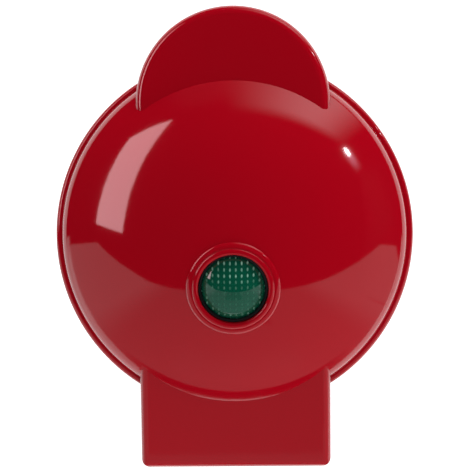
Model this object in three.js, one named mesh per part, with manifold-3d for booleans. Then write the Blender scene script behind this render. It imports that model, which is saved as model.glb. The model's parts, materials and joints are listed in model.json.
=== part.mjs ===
// A mini waffle maker for the countertop: a domed lid hinged on a bowl-shaped base, each half
// holding a round cast plate with its own heating element.
// Millimetres, +Z up. The handles point to -Y and the hinge lies at +Y. The pieces are modelled on
// the axis of the round body, and the whole is then moved so that its box is centred on the origin.
import * as THREE from "three";
import { mergeVertices } from "three/addons/utils/BufferGeometryUtils.js";
import Module from "manifold-3d";

const wasm = await Module();
wasm.setup();

// Driving dimensions.
const discRadius = 63.5;
const partingHeight = 38;
const domeRise = 33.4;
const shoulderRadius = 7;
const wall = 2.2;
const handleRadius = 34.3;
const handleReach = 16.7;
const handleRise = 13.6;
const blockWidth = 67.2;
const blockDepth = 19.6;
const blockRise = 8.4;
const openAngle = THREE.MathUtils.degToRad(95);

// The handle's centre and the hinge block's rear face, from the axis of the round body.
const handleCentre = discRadius + handleReach - handleRadius;
const blockReach = discRadius + blockDepth;

// Clearances, and the overrun of every cut past what it cuts.
const seatGap = 0.3;
const swingGap = 0.4;
const overrun = 1;

// Facets of a full turn on round shapes, from the shells down to the screws.
const around = 28;
const aroundPan = 24;
const aroundMedium = 18;
const aroundSmall = 12;
const aroundScrew = 8;

// The round lips where the two shells meet.
const lip = {
  gap: 0.6,
  overhang: 2.4,
  height: 2.5,
  round: 1.8,
  edge: 1.5,
  baseInset: 0.3,
};
const wallRadius = discRadius - lip.overhang;
const innerRadius = wallRadius - wall;
const lidBottom = partingHeight + lip.gap;
const baseTop = partingHeight - lip.gap;
const lidLipTop = lidBottom + lip.height;

// The frames: rings that carry the plates and close the shells.
const frame = {
  flange: 1.3,
  skirt: 1.6,
  ledge: 1.8,
  snapWidth: 10,
  snapReach: 1,
  snapHeight: 1.2,
  snapAngles: [210, 330, 90].map(THREE.MathUtils.degToRad),
};
const rabbetRadius = discRadius - lip.edge;
const rabbetDepth = frame.flange + seatGap;
const skirtRadius = innerRadius - seatGap;
const plateSeatRadius = skirtRadius - frame.skirt;

// The plates. Depths run from the parting plane into the shell.
const plate = {
  edgeGap: 0.4,
  rimGap: 0.15,
  rimWidth: 4.4,
  flange: 3,
  dishDepth: 6.5,
  dishWall: 2,
  draft: 1.4,
  floor: 2.5,
  studPitch: 12.6,
  studFoot: 9.6,
  studTop: 7,
  studHeight: 4.4,
  studMargin: 1.6,
  bossRadius: 3.6,
  bossRadiusShare: 0.42,
  bossAngles: [30, 150, 270].map(THREE.MathUtils.degToRad),
};
const plateRadius = plateSeatRadius - plate.edgeGap;
const dishRadius = plateRadius - plate.rimWidth;
const dishOuterRadius = dishRadius + plate.dishWall;
const dishFloorDepth = plate.rimGap + plate.dishDepth;
const plateUndersideDepth = dishFloorDepth + plate.floor;
const ledgeDepth = plate.rimGap + plate.flange + seatGap;
const bossCircle = plateRadius * plate.bossRadiusShare;

// The tubular heating elements and the sheet pans behind them.
const element = {
  tubeRadius: 2.8,
  ringShare: 0.6,
  gapAngle: THREE.MathUtils.degToRad(40),
  pinRadius: 1.2,
  pinLength: 6,
};
const elementRing = plateRadius * element.ringShare;
const elementDepth = plateUndersideDepth + seatGap + element.tubeRadius;
const shield = {
  sheet: 0.6,
  air: 0.5,
  rimCover: 0.2,
  floorMargin: 3,
  pinHole: 3.2,
};
const shieldRimDepth = ledgeDepth + frame.ledge + seatGap;
const shieldFloorDepth = elementDepth + element.tubeRadius + shield.air;
const shieldBackDepth = shieldFloorDepth + shield.sheet;

// A disc thermostat on the upper plate, and a thermal fuse in its sleeve on the lower one.
const thermostat = {
  radius: 7.6,
  height: 4.6,
  bodyShare: 0.8,
  earLength: 23,
  earWidth: 6,
  ear: 1,
};
const fuse = {
  radius: 2,
  length: 14,
  leadRadius: 0.9,
  leadLength: 24,
};

// Screws: one gauge in two lengths.
const screw = {
  shankRadius: 1.4,
  headRadius: 2.7,
  headHeight: 1.5,
  length: 7.2,
  shortLength: 4,
};
const screwHole = screw.shankRadius + seatGap;

// The lid's profile: a spherical cap, a rounded shoulder tangent to it, and a short upright wall.
const lid = {
  wallHeight: 4.2,
  handleEdge: 3.2,
  blockEdge: 2.7,
  blockCorner: 3.3,
  hoodSlope: THREE.MathUtils.degToRad(10),
  insert: 1.6,
};
const shoulderHeight = lidBottom + lid.wallHeight;
const shoulderCentre = wallRadius - shoulderRadius;
const domeTop = lidBottom + domeRise;
const crownRise = domeTop - shoulderHeight;
const domeRadius =
  (shoulderCentre ** 2 + crownRise ** 2 - shoulderRadius ** 2) / (2 * (crownRise - shoulderRadius));
const domeCentre = domeTop - domeRadius;
const tangentAngle = Math.atan2(shoulderHeight - domeCentre, shoulderCentre);
const handleTop = lidBottom + handleRise;
const handleUnderside = lidLipTop + seatGap;
const blockTop = lidBottom + blockRise;

// The hinge: two knuckles on the lid beside one barrel on the base, on two short pins.
const hinge = {
  drop: 5,
  knuckleRadius: 6,
  knuckleLength: 11.9,
  pinRadius: 2,
  pinHeadRadius: 3.1,
  pinHead: 1.6,
  pinRecess: 0.4,
  bushWall: 1.3,
  bushLength: 9,
};
const hingeY = blockReach - hinge.knuckleRadius;
const hingeZ = partingHeight - hinge.drop;
const barrelHalf = blockWidth / 2 - hinge.knuckleLength - swingGap;
const swingRadius = hinge.knuckleRadius + swingGap;
const pinBore = hinge.pinRadius + seatGap;
const bushRadius = pinBore + hinge.bushWall;
// Where the lid's rear face comes to rest on the base when it is open.
const shelfHeight = hingeZ - hinge.knuckleRadius * Math.tan(openAngle / 2) - seatGap;

// The indicator in the dome, on an axis square to the dome's surface.
const indicator = {
  distance: 19.6,
  holeRadius: 12.2,
  lensGap: 0.5,
  collarRadius: 16.4,
  collarRise: 1.1,
  collarRound: 1,
  beadWidth: 1.7,
  beadRise: 0.6,
  seatDepth: 1.3,
  sleeveWall: 1.6,
  sleeveDepth: 4.6,
  flangeWidth: 1.3,
  flange: 1,
  lensWall: 1.4,
  crown: 2.1,
  crownEdge: 1.3,
  ringHeight: 1.1,
  board: 1.2,
  boardMargin: 1.8,
  lampRadius: 2.4,
};
const lensRadius = indicator.holeRadius - indicator.lensGap;
const lensFlangeRadius = lensRadius + indicator.flangeWidth;
const lensSeatRadius = lensFlangeRadius + seatGap;
const indicatorTilt = Math.asin(indicator.distance / domeRadius);
const lensFlangeTop = -indicator.seatDepth - seatGap;
const ringTop = lensFlangeTop - indicator.flange - seatGap;
const boardTop = ringTop - indicator.ringHeight - seatGap;

// The base: a bowl on four feet, with a block behind it for the hinge and the mains wiring.
const base = {
  footHeight: 4,
  floorRadius: 50,
  bowlStraight: 1.5,
  tabDrop: 7.5,
  tabHeight: 9.5,
  tabInset: 0.8,
  tabRib: 1.6,
  tabRibSpacing: 14,
  cornerFillet: 3.4,
  post: 3.2,
  postAngle: THREE.MathUtils.degToRad(18),
  postFuse: 0.7,
  postHeight: 9,
  web: 1.6,
};
const bowlTop = baseTop - lip.height - base.bowlStraight;
const openingRadius = base.floorRadius - wall;
const deck = rabbetDepth + wall;

// The plate that closes the base from below, with its vents.
const cover = {
  inset: 0.2,
  thickness: 2,
  ventWidth: 2.4,
  ventLength: 26,
  ventSpacing: 6.4,
  vents: 7,
};
const coverBottom = base.footHeight + cover.inset;
const coverTop = coverBottom + cover.thickness;
const coverRadius = openingRadius - seatGap;
const foot = {
  padRadius: 7,
  padRound: 1,
  stemRadius: 2.4,
  barb: 0.8,
  barbHeight: 1.4,
  angle: THREE.MathUtils.degToRad(54),
};
const footCircle = coverRadius - foot.padRadius - overrun / 2;

// The mains inlet low in the rear wall, and the terminal block behind it.
const inlet = {
  bore: 3.4,
  bushWall: 1.2,
  flangeRadius: 6.2,
  flange: 1.4,
  length: 9,
  boss: 3,
};
const inletHeight = (base.footHeight + shelfHeight) / 2;
const inletHole = inlet.bore + inlet.bushWall + seatGap;
const terminal = {
  width: 30,
  depth: 9,
  height: 8,
  poles: 3,
  clampWidth: 6,
  clampDepth: 2.4,
  glandGap: 1.9,
};

// Materials.
const redPlastic = { color: 0x9e0418, roughness: 0.12, metalness: 0 };
const coatedCast = { color: 0x1d1c1c, roughness: 0.45, metalness: 0.3 };
const sheetMetal = { color: 0xb9bcc0, roughness: 0.35, metalness: 1 };
const steel = { color: 0x8f9296, roughness: 0.3, metalness: 1 };
const brass = { color: 0xb08a45, roughness: 0.35, metalness: 1 };
const greenLens = { color: 0x0a6b4b, roughness: 0.1, metalness: 0 };
const blackRubber = { color: 0x17171a, roughness: 0.8, metalness: 0 };
const palePlastic = { color: 0xe4e0d2, roughness: 0.5, metalness: 0 };
const amberLamp = { color: 0xd9d4c0, roughness: 0.15, metalness: 0 };

// A closed three.js geometry as a solid, without the empty triangles at the poles of a turned shape.
function solidOf(geometry) {
  const loose = geometry.index ? geometry.toNonIndexed() : geometry;
  const bare = new THREE.BufferGeometry().setAttribute("position", loose.getAttribute("position"));
  const merged = mergeVertices(bare);
  const kept = [];
  for (let i = 0; i < merged.index.count; i += 3) {
    const [a, b, c] = [0, 1, 2].map((k) => merged.index.getX(i + k));
    if (a !== b && b !== c && c !== a) kept.push(a, b, c);
  }
  return new wasm.Manifold(
    new wasm.Mesh({
      numProp: 3,
      vertProperties: merged.attributes.position.array,
      triVerts: Uint32Array.from(kept),
    }),
  );
}

// Turns a profile of (radius, height) points about +Z.
function turned(profile, facets = around) {
  const points = THREE.ShapeUtils.area(profile) < 0 ? [...profile].reverse() : profile;
  return solidOf(new THREE.LatheGeometry(points, facets).rotateX(Math.PI / 2));
}

// A profile that doesn't start and end on the axis closes on itself.
function turnedRing(profile, facets = around) {
  return turned([...profile, profile[0].clone()], facets);
}

function at(r, z) {
  return new THREE.Vector2(r, z);
}

function arc(centreR, centreZ, radius, from, to, steps) {
  return Array.from({ length: steps + 1 }, (_, i) => {
    const angle = from + ((to - from) * i) / steps;
    return at(centreR + radius * Math.cos(angle), centreZ + radius * Math.sin(angle));
  });
}

function ring(inner, outer, bottom, top, facets = around) {
  return turnedRing([at(inner, bottom), at(outer, bottom), at(outer, top), at(inner, top)], facets);
}

function cylinder(radius, bottom, top, facets = aroundSmall) {
  return turned([at(0, bottom), at(radius, bottom), at(radius, top), at(0, top)], facets);
}

function box(x0, x1, y0, y1, z0, z1) {
  return solidOf(
    new THREE.BoxGeometry(x1 - x0, y1 - y0, z1 - z0).translate((x0 + x1) / 2, (y0 + y1) / 2, (z0 + z1) / 2),
  );
}

// A cylinder along X on the hinge's axis.
function hingeCylinder(radius, x0, x1) {
  const turnedX = new THREE.CylinderGeometry(radius, radius, x1 - x0, aroundMedium).rotateZ(Math.PI / 2);
  return solidOf(turnedX.translate((x0 + x1) / 2, hingeY, hingeZ));
}

function moved(solid, x, y, z = 0) {
  return solid.translate([x, y, z]);
}

function joined(...solids) {
  return solids.reduce((all, next) => all.add(next));
}

// The hinge block's outline from above: straight sides, rounded rear corners, open into the disc.
function blockShape(inset, corner) {
  const half = blockWidth / 2 - inset;
  const rear = blockReach - inset;
  const shape = new THREE.Shape();
  shape.moveTo(-half, 0);
  shape.lineTo(half, 0);
  shape.lineTo(half, rear - corner);
  shape.absarc(half - corner, rear - corner, corner, 0, Math.PI / 2, false);
  shape.lineTo(corner - half, rear);
  shape.absarc(corner - half, rear - corner, corner, Math.PI / 2, Math.PI, false);
  return shape;
}

function blockPrism(inset, corner, bottom, top) {
  const settings = { depth: top - bottom, curveSegments: 2, bevelEnabled: false };
  const prism = new THREE.ExtrudeGeometry(blockShape(inset, corner), settings);
  return solidOf(prism.translate(0, 0, bottom));
}

// Carries a solid that hangs below zero to the hood's roof, which falls away from the dome.
function underRoof(solid) {
  return moved(solid.rotate([-THREE.MathUtils.radToDeg(lid.hoodSlope), 0, 0]), 0, wallRadius, blockTop);
}

// The hinge hood: a straight roof with rounded edges along its sides and across its rear.
function hoodSolid() {
  const half = blockWidth / 2;
  const edge = lid.blockEdge;
  const across = new THREE.Shape();
  across.moveTo(-half, -blockTop);
  across.lineTo(half, -blockTop);
  across.lineTo(half, -edge);
  across.absarc(half - edge, -edge, edge, 0, Math.PI / 2, false);
  across.lineTo(edge - half, 0);
  across.absarc(edge - half, -edge, edge, Math.PI / 2, Math.PI, false);
  const length = 2 * wallRadius;
  const bar = new THREE.ExtrudeGeometry(across, { depth: length, curveSegments: 3, bevelEnabled: false });
  const roofed = underRoof(solidOf(bar.rotateX(Math.PI / 2).translate(0, wallRadius, 0)));

  // The rear edge seen from the side: a round that meets the roof and the upright rear face.
  const roundY = blockReach - edge;
  const fall = (roundY - wallRadius) * Math.tan(lid.hoodSlope) + edge / Math.cos(lid.hoodSlope);
  const along = new THREE.Shape();
  along.moveTo(0, 0);
  along.lineTo(blockReach, 0);
  along.absarc(roundY, blockTop - fall, edge, 0, Math.PI / 2 - lid.hoodSlope, false);
  along.lineTo(roundY + edge * Math.sin(lid.hoodSlope), domeTop);
  along.lineTo(0, domeTop);
  const settings = { depth: 2 * blockWidth, curveSegments: 3, bevelEnabled: false };
  const slice = new THREE.ExtrudeGeometry(along, settings).rotateX(Math.PI / 2).rotateZ(Math.PI / 2);
  const rounded = solidOf(slice.translate(-blockWidth, 0, 0));
  return roofed.intersect(rounded).intersect(blockPrism(0, lid.blockCorner, lidBottom, domeTop));
}

// The round body's outer surface, cap to lip, as a solid.
function domeSolid() {
  const roundRadius = discRadius - lip.round;
  return turned([
    at(0, lidBottom),
    at(discRadius, lidBottom),
    ...arc(roundRadius, lidLipTop - lip.round, lip.round, 0, Math.PI / 2, 3),
    at(wallRadius, lidLipTop),
    ...arc(shoulderCentre, shoulderHeight, shoulderRadius, 0, tangentAngle, 4),
    ...arc(0, domeCentre, domeRadius, tangentAngle, Math.PI / 2, 6).slice(1, -1),
    at(0, domeCentre + domeRadius),
  ]);
}

// The space inside the lid, with the rabbet for the frame at its mouth.
function domeHollow() {
  return turned([
    at(0, lidBottom - overrun),
    at(rabbetRadius, lidBottom - overrun),
    at(rabbetRadius, lidBottom + rabbetDepth),
    at(innerRadius, lidBottom + rabbetDepth),
    ...arc(shoulderCentre, shoulderHeight, shoulderRadius - wall, 0, tangentAngle, 2),
    ...arc(0, domeCentre, domeRadius - wall, tangentAngle, Math.PI / 2, 3).slice(1, -1),
    at(0, domeCentre + domeRadius - wall),
  ]);
}

// The radius of the lid's inner surface at a height above its shoulder.
function domeInnerRadius(height) {
  return Math.sqrt((domeRadius - wall) ** 2 - (height - domeCentre) ** 2);
}

// Moves a solid from the indicator's own frame, +Z out of the dome, to its place.
function onDome(solid) {
  const tilted = solid.rotate([-THREE.MathUtils.radToDeg(indicatorTilt), 0, 0]);
  const reach = Math.sqrt(domeRadius ** 2 - indicator.collarRadius ** 2);
  return moved(tilted, 0, reach * Math.sin(indicatorTilt), domeCentre + reach * Math.cos(indicatorTilt));
}

function lensHole() {
  return turned(
    [
      at(0, -indicator.sleeveDepth - overrun),
      at(lensSeatRadius, -indicator.sleeveDepth - overrun),
      at(lensSeatRadius, -indicator.seatDepth),
      at(indicator.holeRadius, -indicator.seatDepth),
      at(indicator.holeRadius, indicator.collarRise + indicator.beadRise + overrun),
      at(0, indicator.collarRise + indicator.beadRise + overrun),
    ],
    aroundMedium,
  );
}

// A rounded collar in two steps round the lens, and the sleeve under it that holds the lens.
function lensCollar() {
  const { holeRadius, collarRadius, collarRise, collarRound, beadWidth, beadRise } = indicator;
  const beadRadius = holeRadius + beadWidth;
  return turned(
    [
      at(0, -indicator.sleeveDepth),
      at(lensSeatRadius + indicator.sleeveWall, -indicator.sleeveDepth),
      at(lensSeatRadius + indicator.sleeveWall, -wall),
      at(collarRadius, -wall),
      at(collarRadius, 0),
      ...arc(collarRadius - collarRound, 0, collarRound, 0, Math.PI / 2, 2).slice(1),
      at(beadRadius, collarRise),
      at(beadRadius, collarRise + beadRise / 2),
      at(beadRadius - beadRise / 2, collarRise + beadRise),
      at(0, collarRise + beadRise),
    ],
    aroundMedium,
  );
}

function handleDisc(radius, bottom, top, edge) {
  const edgeArc = arc(radius - edge, top - edge, edge, 0, Math.PI / 2, 4);
  const disc = turned([at(0, bottom), at(radius, bottom), ...edgeArc, at(0, top)]);
  return moved(disc, 0, -handleCentre);
}

function handleHollow(radius, bottom, top) {
  return moved(cylinder(radius, bottom - overrun, top, around), 0, -handleCentre);
}

// Knuckles on both sides of the block, round under the pin and square above it.
function lidKnuckles() {
  const outer = blockWidth / 2;
  const inner = outer - hinge.knuckleLength;
  return [-1, 1].map((side) => {
    const [x0, x1] = [side * inner, side * outer].sort((a, b) => a - b);
    const round = hingeCylinder(hinge.knuckleRadius, x0, x1);
    const front = hingeY - hinge.knuckleRadius;
    return round.add(box(x0, x1, front, blockReach, hingeZ, lidBottom + overrun));
  });
}

// Bores for the hinge pins, with a recess for each head.
function pinBores(radius) {
  const outer = blockWidth / 2;
  const recess = hinge.pinHead + hinge.pinRecess;
  const headRadius = hinge.pinHeadRadius + seatGap;
  return joined(
    hingeCylinder(radius, -outer - overrun, -barrelHalf),
    hingeCylinder(radius, barrelHalf, outer + overrun),
    hingeCylinder(headRadius, -outer - overrun, seatGap + recess - outer),
    hingeCylinder(headRadius, outer - recess - seatGap, outer + overrun),
  );
}

function tongueScrewPlaces() {
  const x = blockWidth / 2 - wall - 2 * base.post;
  const y = hingeY - swingRadius - frame.ledge - screw.headRadius;
  return [-1, 1].map((side) => [side * x, y]);
}

// One snap lug, or the pocket for it, on the outside of a frame's skirt.
function snapBlock(angle, grow, bottom, top) {
  const half = frame.snapWidth / 2 + grow;
  const reach = skirtRadius + frame.snapReach + grow;
  const lug = box(plateSeatRadius + frame.skirt / 2, reach, -half, half, bottom - grow, top + grow);
  return lug.rotate([0, 0, THREE.MathUtils.radToDeg(angle)]);
}

// Depths of a snap lug, under a frame's flange.
const snapTop = rabbetDepth + lip.gap + seatGap;
const snapBottom = snapTop + frame.snapHeight;

function lidCover() {
  const dome = domeSolid();
  const knuckleOutline = blockPrism(0, lid.blockCorner, hingeZ - swingRadius, lidLipTop);
  const knuckles = joined(...lidKnuckles()).intersect(knuckleOutline);
  const handle = handleDisc(handleRadius, handleUnderside, handleTop, lid.handleEdge);
  const handlePocket = handleHollow(handleRadius - wall, handleUnderside, handleTop - wall);

  // The hood is hollow in front of the knuckles and between them.
  const inside = blockWidth / 2 - wall;
  const pocketFront = box(-inside, inside, 0, hingeY - swingRadius, lidBottom - overrun, blockTop);
  const barrelRoom = barrelHalf + swingGap;
  const middle = barrelRoom - wall;
  const pocketMiddle = box(-middle, middle, 0, blockReach - wall, lidBottom - overrun, blockTop);
  const roofSlab = box(-blockWidth, blockWidth, -blockReach, blockReach, -blockTop, 0);
  const pocket = pocketFront.add(pocketMiddle).intersect(underRoof(moved(roofSlab, 0, 0, -wall)));
  const swing = joined(
    hingeCylinder(swingRadius, -barrelRoom, barrelRoom),
    box(-barrelRoom, barrelRoom, hingeY - swingRadius, blockReach + overrun, -overrun, lidBottom),
  );
  const tongueRoom = box(
    -inside,
    inside,
    0,
    hingeY - swingRadius,
    lidBottom - overrun,
    lidBottom + rabbetDepth,
  );
  const tongueTop = lidBottom + rabbetDepth + seatGap + frame.ledge;
  const post = cylinder(base.post, tongueTop, blockTop);
  const pilotTop = lidBottom + screw.headHeight + screw.shortLength + seatGap;
  const pilot = cylinder(screwHole, tongueTop - overrun, pilotTop, aroundScrew);
  const posts = joined(...tongueScrewPlaces().map(([x, y]) => moved(post, x, y)));
  const pilots = tongueScrewPlaces().map(([x, y]) => moved(pilot, x, y));
  const slot = inside / 4;
  const slotBottom = lidBottom + rabbetDepth;
  const wireSlot = box(-slot, slot, innerRadius - wall, discRadius, slotBottom, shoulderHeight);
  const snaps = frame.snapAngles.slice(0, 2).map((angle) => {
    const facing = Math.PI - angle;
    return snapBlock(facing, seatGap, partingHeight + snapTop, partingHeight + snapBottom);
  });

  return joined(dome, hoodSolid(), handle)
    .subtract(handlePocket.subtract(dome))
    .subtract(pocket.subtract(dome))
    .add(knuckles)
    .subtract(swing)
    .add(onDome(lensCollar()))
    .subtract(domeHollow().subtract(onDome(lensCollar())))
    .subtract(onDome(lensHole()))
    .subtract(tongueRoom)
    .subtract(wireSlot)
    .add(posts.intersect(underRoof(moved(roofSlab, 0, 0, -wall / 2))))
    .subtract(joined(...pilots, ...snaps))
    .subtract(pinBores(pinBore));
}

// Closes the handle from below.
function handleInsert() {
  const top = handleUnderside + lid.insert;
  const disc = cylinder(handleRadius - wall - seatGap, handleUnderside, top, around);
  const body = cylinder(wallRadius + seatGap, handleUnderside - overrun, top + overrun, around);
  return moved(disc, 0, -handleCentre).subtract(body);
}

function lens() {
  const { crown, crownEdge, lensWall, flange } = indicator;
  const rise = crown - crownEdge;
  const crownRadius = (lensRadius ** 2 + rise ** 2) / (2 * rise);
  const spread = Math.asin(lensRadius / crownRadius);
  const inside = lensRadius - lensWall;
  const flangeBottom = lensFlangeTop - flange;
  return onDome(
    turned(
      [
        at(0, crownEdge - lensWall),
        at(inside, crownEdge - lensWall),
        at(inside, flangeBottom),
        at(lensFlangeRadius, flangeBottom),
        at(lensFlangeRadius, lensFlangeTop),
        at(lensRadius, lensFlangeTop),
        ...arc(0, crown - crownRadius, crownRadius, Math.PI / 2 - spread, Math.PI / 2, 3).slice(0, -1),
        at(0, crown),
      ],
      aroundMedium,
    ),
  );
}

function lensRetainer() {
  const inner = lensRadius - indicator.lensWall;
  return onDome(ring(inner, lensFlangeRadius, ringTop - indicator.ringHeight, ringTop, aroundMedium));
}

function indicatorBoard() {
  const radius = lensRadius - indicator.lensWall + indicator.boardMargin;
  return onDome(cylinder(radius, boardTop - indicator.board, boardTop, aroundMedium));
}

// A bulb with a round tip, standing on the board inside the lens.
function indicatorLamp() {
  const radius = indicator.lampRadius;
  const foot = boardTop + seatGap;
  const tip = indicator.crownEdge - indicator.lensWall - seatGap;
  const dome = arc(0, tip - radius, radius, 0, Math.PI / 2, 4).slice(0, -1);
  return onDome(turned([at(0, foot), at(radius, foot), ...dome, at(0, tip)], aroundSmall));
}

// One hinge pin: a head outside, and a shank through the knuckle into the barrel's bush.
function hingePin(side) {
  const outer = blockWidth / 2 - hinge.pinRecess;
  const end = barrelHalf - hinge.bushLength + seatGap;
  const span = (radius, x0, x1) => hingeCylinder(radius, ...(side > 0 ? [x0, x1] : [-x1, -x0]));
  const head = span(hinge.pinHeadRadius, outer - hinge.pinHead, outer);
  return head.add(span(hinge.pinRadius, end, outer - hinge.pinHead / 2));
}

function hingeBush(side) {
  const span = (radius, x0, x1) => hingeCylinder(radius, ...(side > 0 ? [x0, x1] : [-x1, -x0]));
  const start = barrelHalf - hinge.bushLength;
  return span(bushRadius, start, barrelHalf).subtract(span(pinBore, start - overrun, barrelHalf + overrun));
}

// The base's shell: bowl, rear block with the hinge's barrel, front tab and screw posts.
function bowlSolid() {
  const lipRadius = discRadius - lip.baseInset;
  const lipBottom = baseTop - lip.height;
  return turned([
    at(0, base.footHeight),
    at(base.floorRadius, base.footHeight),
    ...bowlCurve(base.floorRadius, wallRadius, base.footHeight, 6).slice(1),
    at(wallRadius, lipBottom),
    ...arc(lipRadius - lip.round, lipBottom + lip.round, lip.round, -Math.PI / 2, 0, 3),
    at(lipRadius, baseTop),
    at(0, baseTop),
  ]);
}

// A quarter ellipse that leaves the floor flat and meets the wall upright.
function bowlCurve(floorR, wallR, bottom, steps) {
  return Array.from({ length: steps + 1 }, (_, i) => {
    const angle = ((Math.PI / 2) * i) / steps;
    return at(floorR + (wallR - floorR) * Math.sin(angle), bowlTop - (bowlTop - bottom) * Math.cos(angle));
  });
}

function bowlHollow() {
  return turned([
    at(0, base.footHeight - overrun),
    at(openingRadius, base.footHeight - overrun),
    at(openingRadius, base.footHeight + wall),
    ...bowlCurve(openingRadius, innerRadius, base.footHeight + wall, 4).slice(1),
    at(innerRadius, baseTop - rabbetDepth),
    at(rabbetRadius, baseTop - rabbetDepth),
    at(rabbetRadius, baseTop + overrun),
    at(0, baseTop + overrun),
  ]);
}

// What the lid's knuckles and hood sweep through, cut from the base's block.
function blockNotch() {
  const outer = blockWidth / 2 + overrun;
  const behind = blockReach + overrun;
  const above = baseTop + overrun;
  const sides = [-1, 1].map((side) => {
    const [x0, x1] = [side * barrelHalf, side * outer].sort((a, b) => a - b);
    const upright = box(x0, x1, hingeY - swingRadius, behind, hingeZ, above);
    return hingeCylinder(swingRadius, x0, x1).add(upright);
  });
  return joined(...sides, box(-outer, outer, hingeY, behind, shelfHeight, above));
}

function frontPostPlaces() {
  const circle = coverRadius - base.post;
  const [x, y] = [circle * Math.cos(base.postAngle), -circle * Math.sin(base.postAngle)];
  return [-1, 1].map((side) => [side * x, y]);
}

function rearPostPlaces() {
  const x = blockWidth / 2 - wall - base.post + base.postFuse;
  const y = blockReach - wall - base.post + base.postFuse;
  return [-1, 1].map((side) => [side * x, y]);
}

// A round post with a pilot hole, and a web that ties it to the bowl.
function frontPosts(bowl) {
  const bottom = coverTop + seatGap;
  const top = bottom + base.postHeight;
  return frontPostPlaces().map(([x, y]) => {
    const angle = THREE.MathUtils.radToDeg(Math.atan2(y, x));
    const web = box(coverRadius - base.post, discRadius, -base.web / 2, base.web / 2, bottom, top);
    return moved(cylinder(base.post, bottom, top), x, y).add(web.rotate([0, 0, angle])).intersect(bowl);
  });
}

function baseShell() {
  const bowl = bowlSolid();
  const block = blockPrism(0, lid.blockCorner, base.footHeight, baseTop).subtract(blockNotch());
  const barrel = hingeCylinder(hinge.knuckleRadius, -barrelHalf, barrelHalf);
  const tabTop = partingHeight - base.tabDrop;
  const tabBottom = tabTop - base.tabHeight;
  const tabRadius = handleRadius - base.tabInset;
  const tabRound = lid.handleEdge;
  const tab = handleDisc(tabRadius, tabBottom, tabTop, tabRound);
  const ribs = [-1, 0, 1].map((i) => {
    const x = i * base.tabRibSpacing;
    return box(x - base.tabRib / 2, x + base.tabRib / 2, -2 * discRadius, 0, tabBottom, tabTop);
  });
  const tabPocket = handleHollow(tabRadius - wall, tabBottom, tabTop - wall)
    .subtract(bowl)
    .subtract(joined(...ribs));

  // The block's hollow: high in front of the hinge, low under the shelf behind it.
  const inside = blockWidth / 2 - wall;
  const bottom = base.footHeight - overrun;
  const hollowFront = box(-inside, inside, 0, hingeY - swingRadius - wall, bottom, baseTop - deck);
  const hollowRear = box(-inside, inside, 0, blockReach - wall, bottom, shelfHeight - wall);
  const rearTop = coverTop + seatGap + base.postHeight;
  const post = cylinder(base.post, coverTop + seatGap, rearTop);
  const rearPosts = rearPostPlaces().map(([x, y]) => moved(post, x, y));
  const pilot = cylinder(screwHole, coverTop, coverTop + base.postHeight, aroundScrew);
  const pilots = coverScrewPlaces().map(([x, y]) => moved(pilot, x, y));
  const snaps = frame.snapAngles.map((angle) =>
    snapBlock(angle, seatGap, partingHeight - snapBottom, partingHeight - snapTop),
  );

  // A small fillet where the block's sides meet the round wall.
  const wallMeet = Math.sqrt(wallRadius ** 2 - (blockWidth / 2) ** 2);
  const fillets = [-1, 1].map((side) => {
    const gusset = new THREE.Shape();
    gusset.moveTo((side * blockWidth) / 2 - side * wall, wallMeet - base.cornerFillet);
    gusset.lineTo(side * (blockWidth / 2 + base.cornerFillet / 2), wallMeet - base.cornerFillet);
    gusset.lineTo((side * blockWidth) / 2, wallMeet + base.cornerFillet);
    gusset.lineTo((side * blockWidth) / 2 - side * wall, wallMeet + base.cornerFillet);
    const depth = baseTop - lip.height - shelfHeight;
    const fillet = new THREE.ExtrudeGeometry(gusset, { depth, bevelEnabled: false });
    return solidOf(fillet.translate(0, 0, shelfHeight));
  });

  const bossEnd = inlet.boss + wall;
  const recess = cylinder(inlet.flangeRadius + seatGap, -overrun, inlet.flange + seatGap);
  const inletBoss = alongY(cylinder(inletHole + wall, 0, bossEnd), blockReach, inletHeight);
  const inletBore = alongY(cylinder(inletHole, -overrun, bossEnd + overrun), blockReach, inletHeight);
  const inletRecess = alongY(recess, blockReach, inletHeight);

  return joined(bowl, block, barrel, tab, ...fillets)
    .subtract(tabPocket)
    .subtract(bowlHollow().add(hollowFront).add(hollowRear))
    .add(joined(...frontPosts(bowl), ...rearPosts, inletBoss))
    .subtract(joined(...pilots, ...snaps))
    .subtract(inletBore.add(inletRecess))
    .subtract(barrelBores());
}

function barrelBores() {
  const start = barrelHalf - hinge.bushLength - seatGap;
  const end = barrelHalf + overrun;
  const radius = bushRadius + seatGap;
  return hingeCylinder(radius, start, end).add(hingeCylinder(radius, -end, -start));
}

// Turns a solid of revolution about +Z so that its +Z runs to -Y, from a point on the rear face.
function alongY(solid, y, z) {
  return moved(solid.rotate([90, 0, 0]), 0, y, z);
}

// The bush that guides the mains lead through the rear wall.
function cordGland() {
  const outer = inlet.bore + inlet.bushWall;
  const chamfer = inlet.bushWall / 2;
  return alongY(
    turnedRing(
      [
        at(inlet.bore, seatGap + chamfer),
        at(inlet.bore + chamfer, seatGap),
        at(inlet.flangeRadius, seatGap),
        at(inlet.flangeRadius, inlet.flange),
        at(outer, inlet.flange),
        at(outer, inlet.length),
        at(inlet.bore, inlet.length),
      ],
      aroundSmall,
    ),
    blockReach,
    inletHeight,
  );
}

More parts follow.
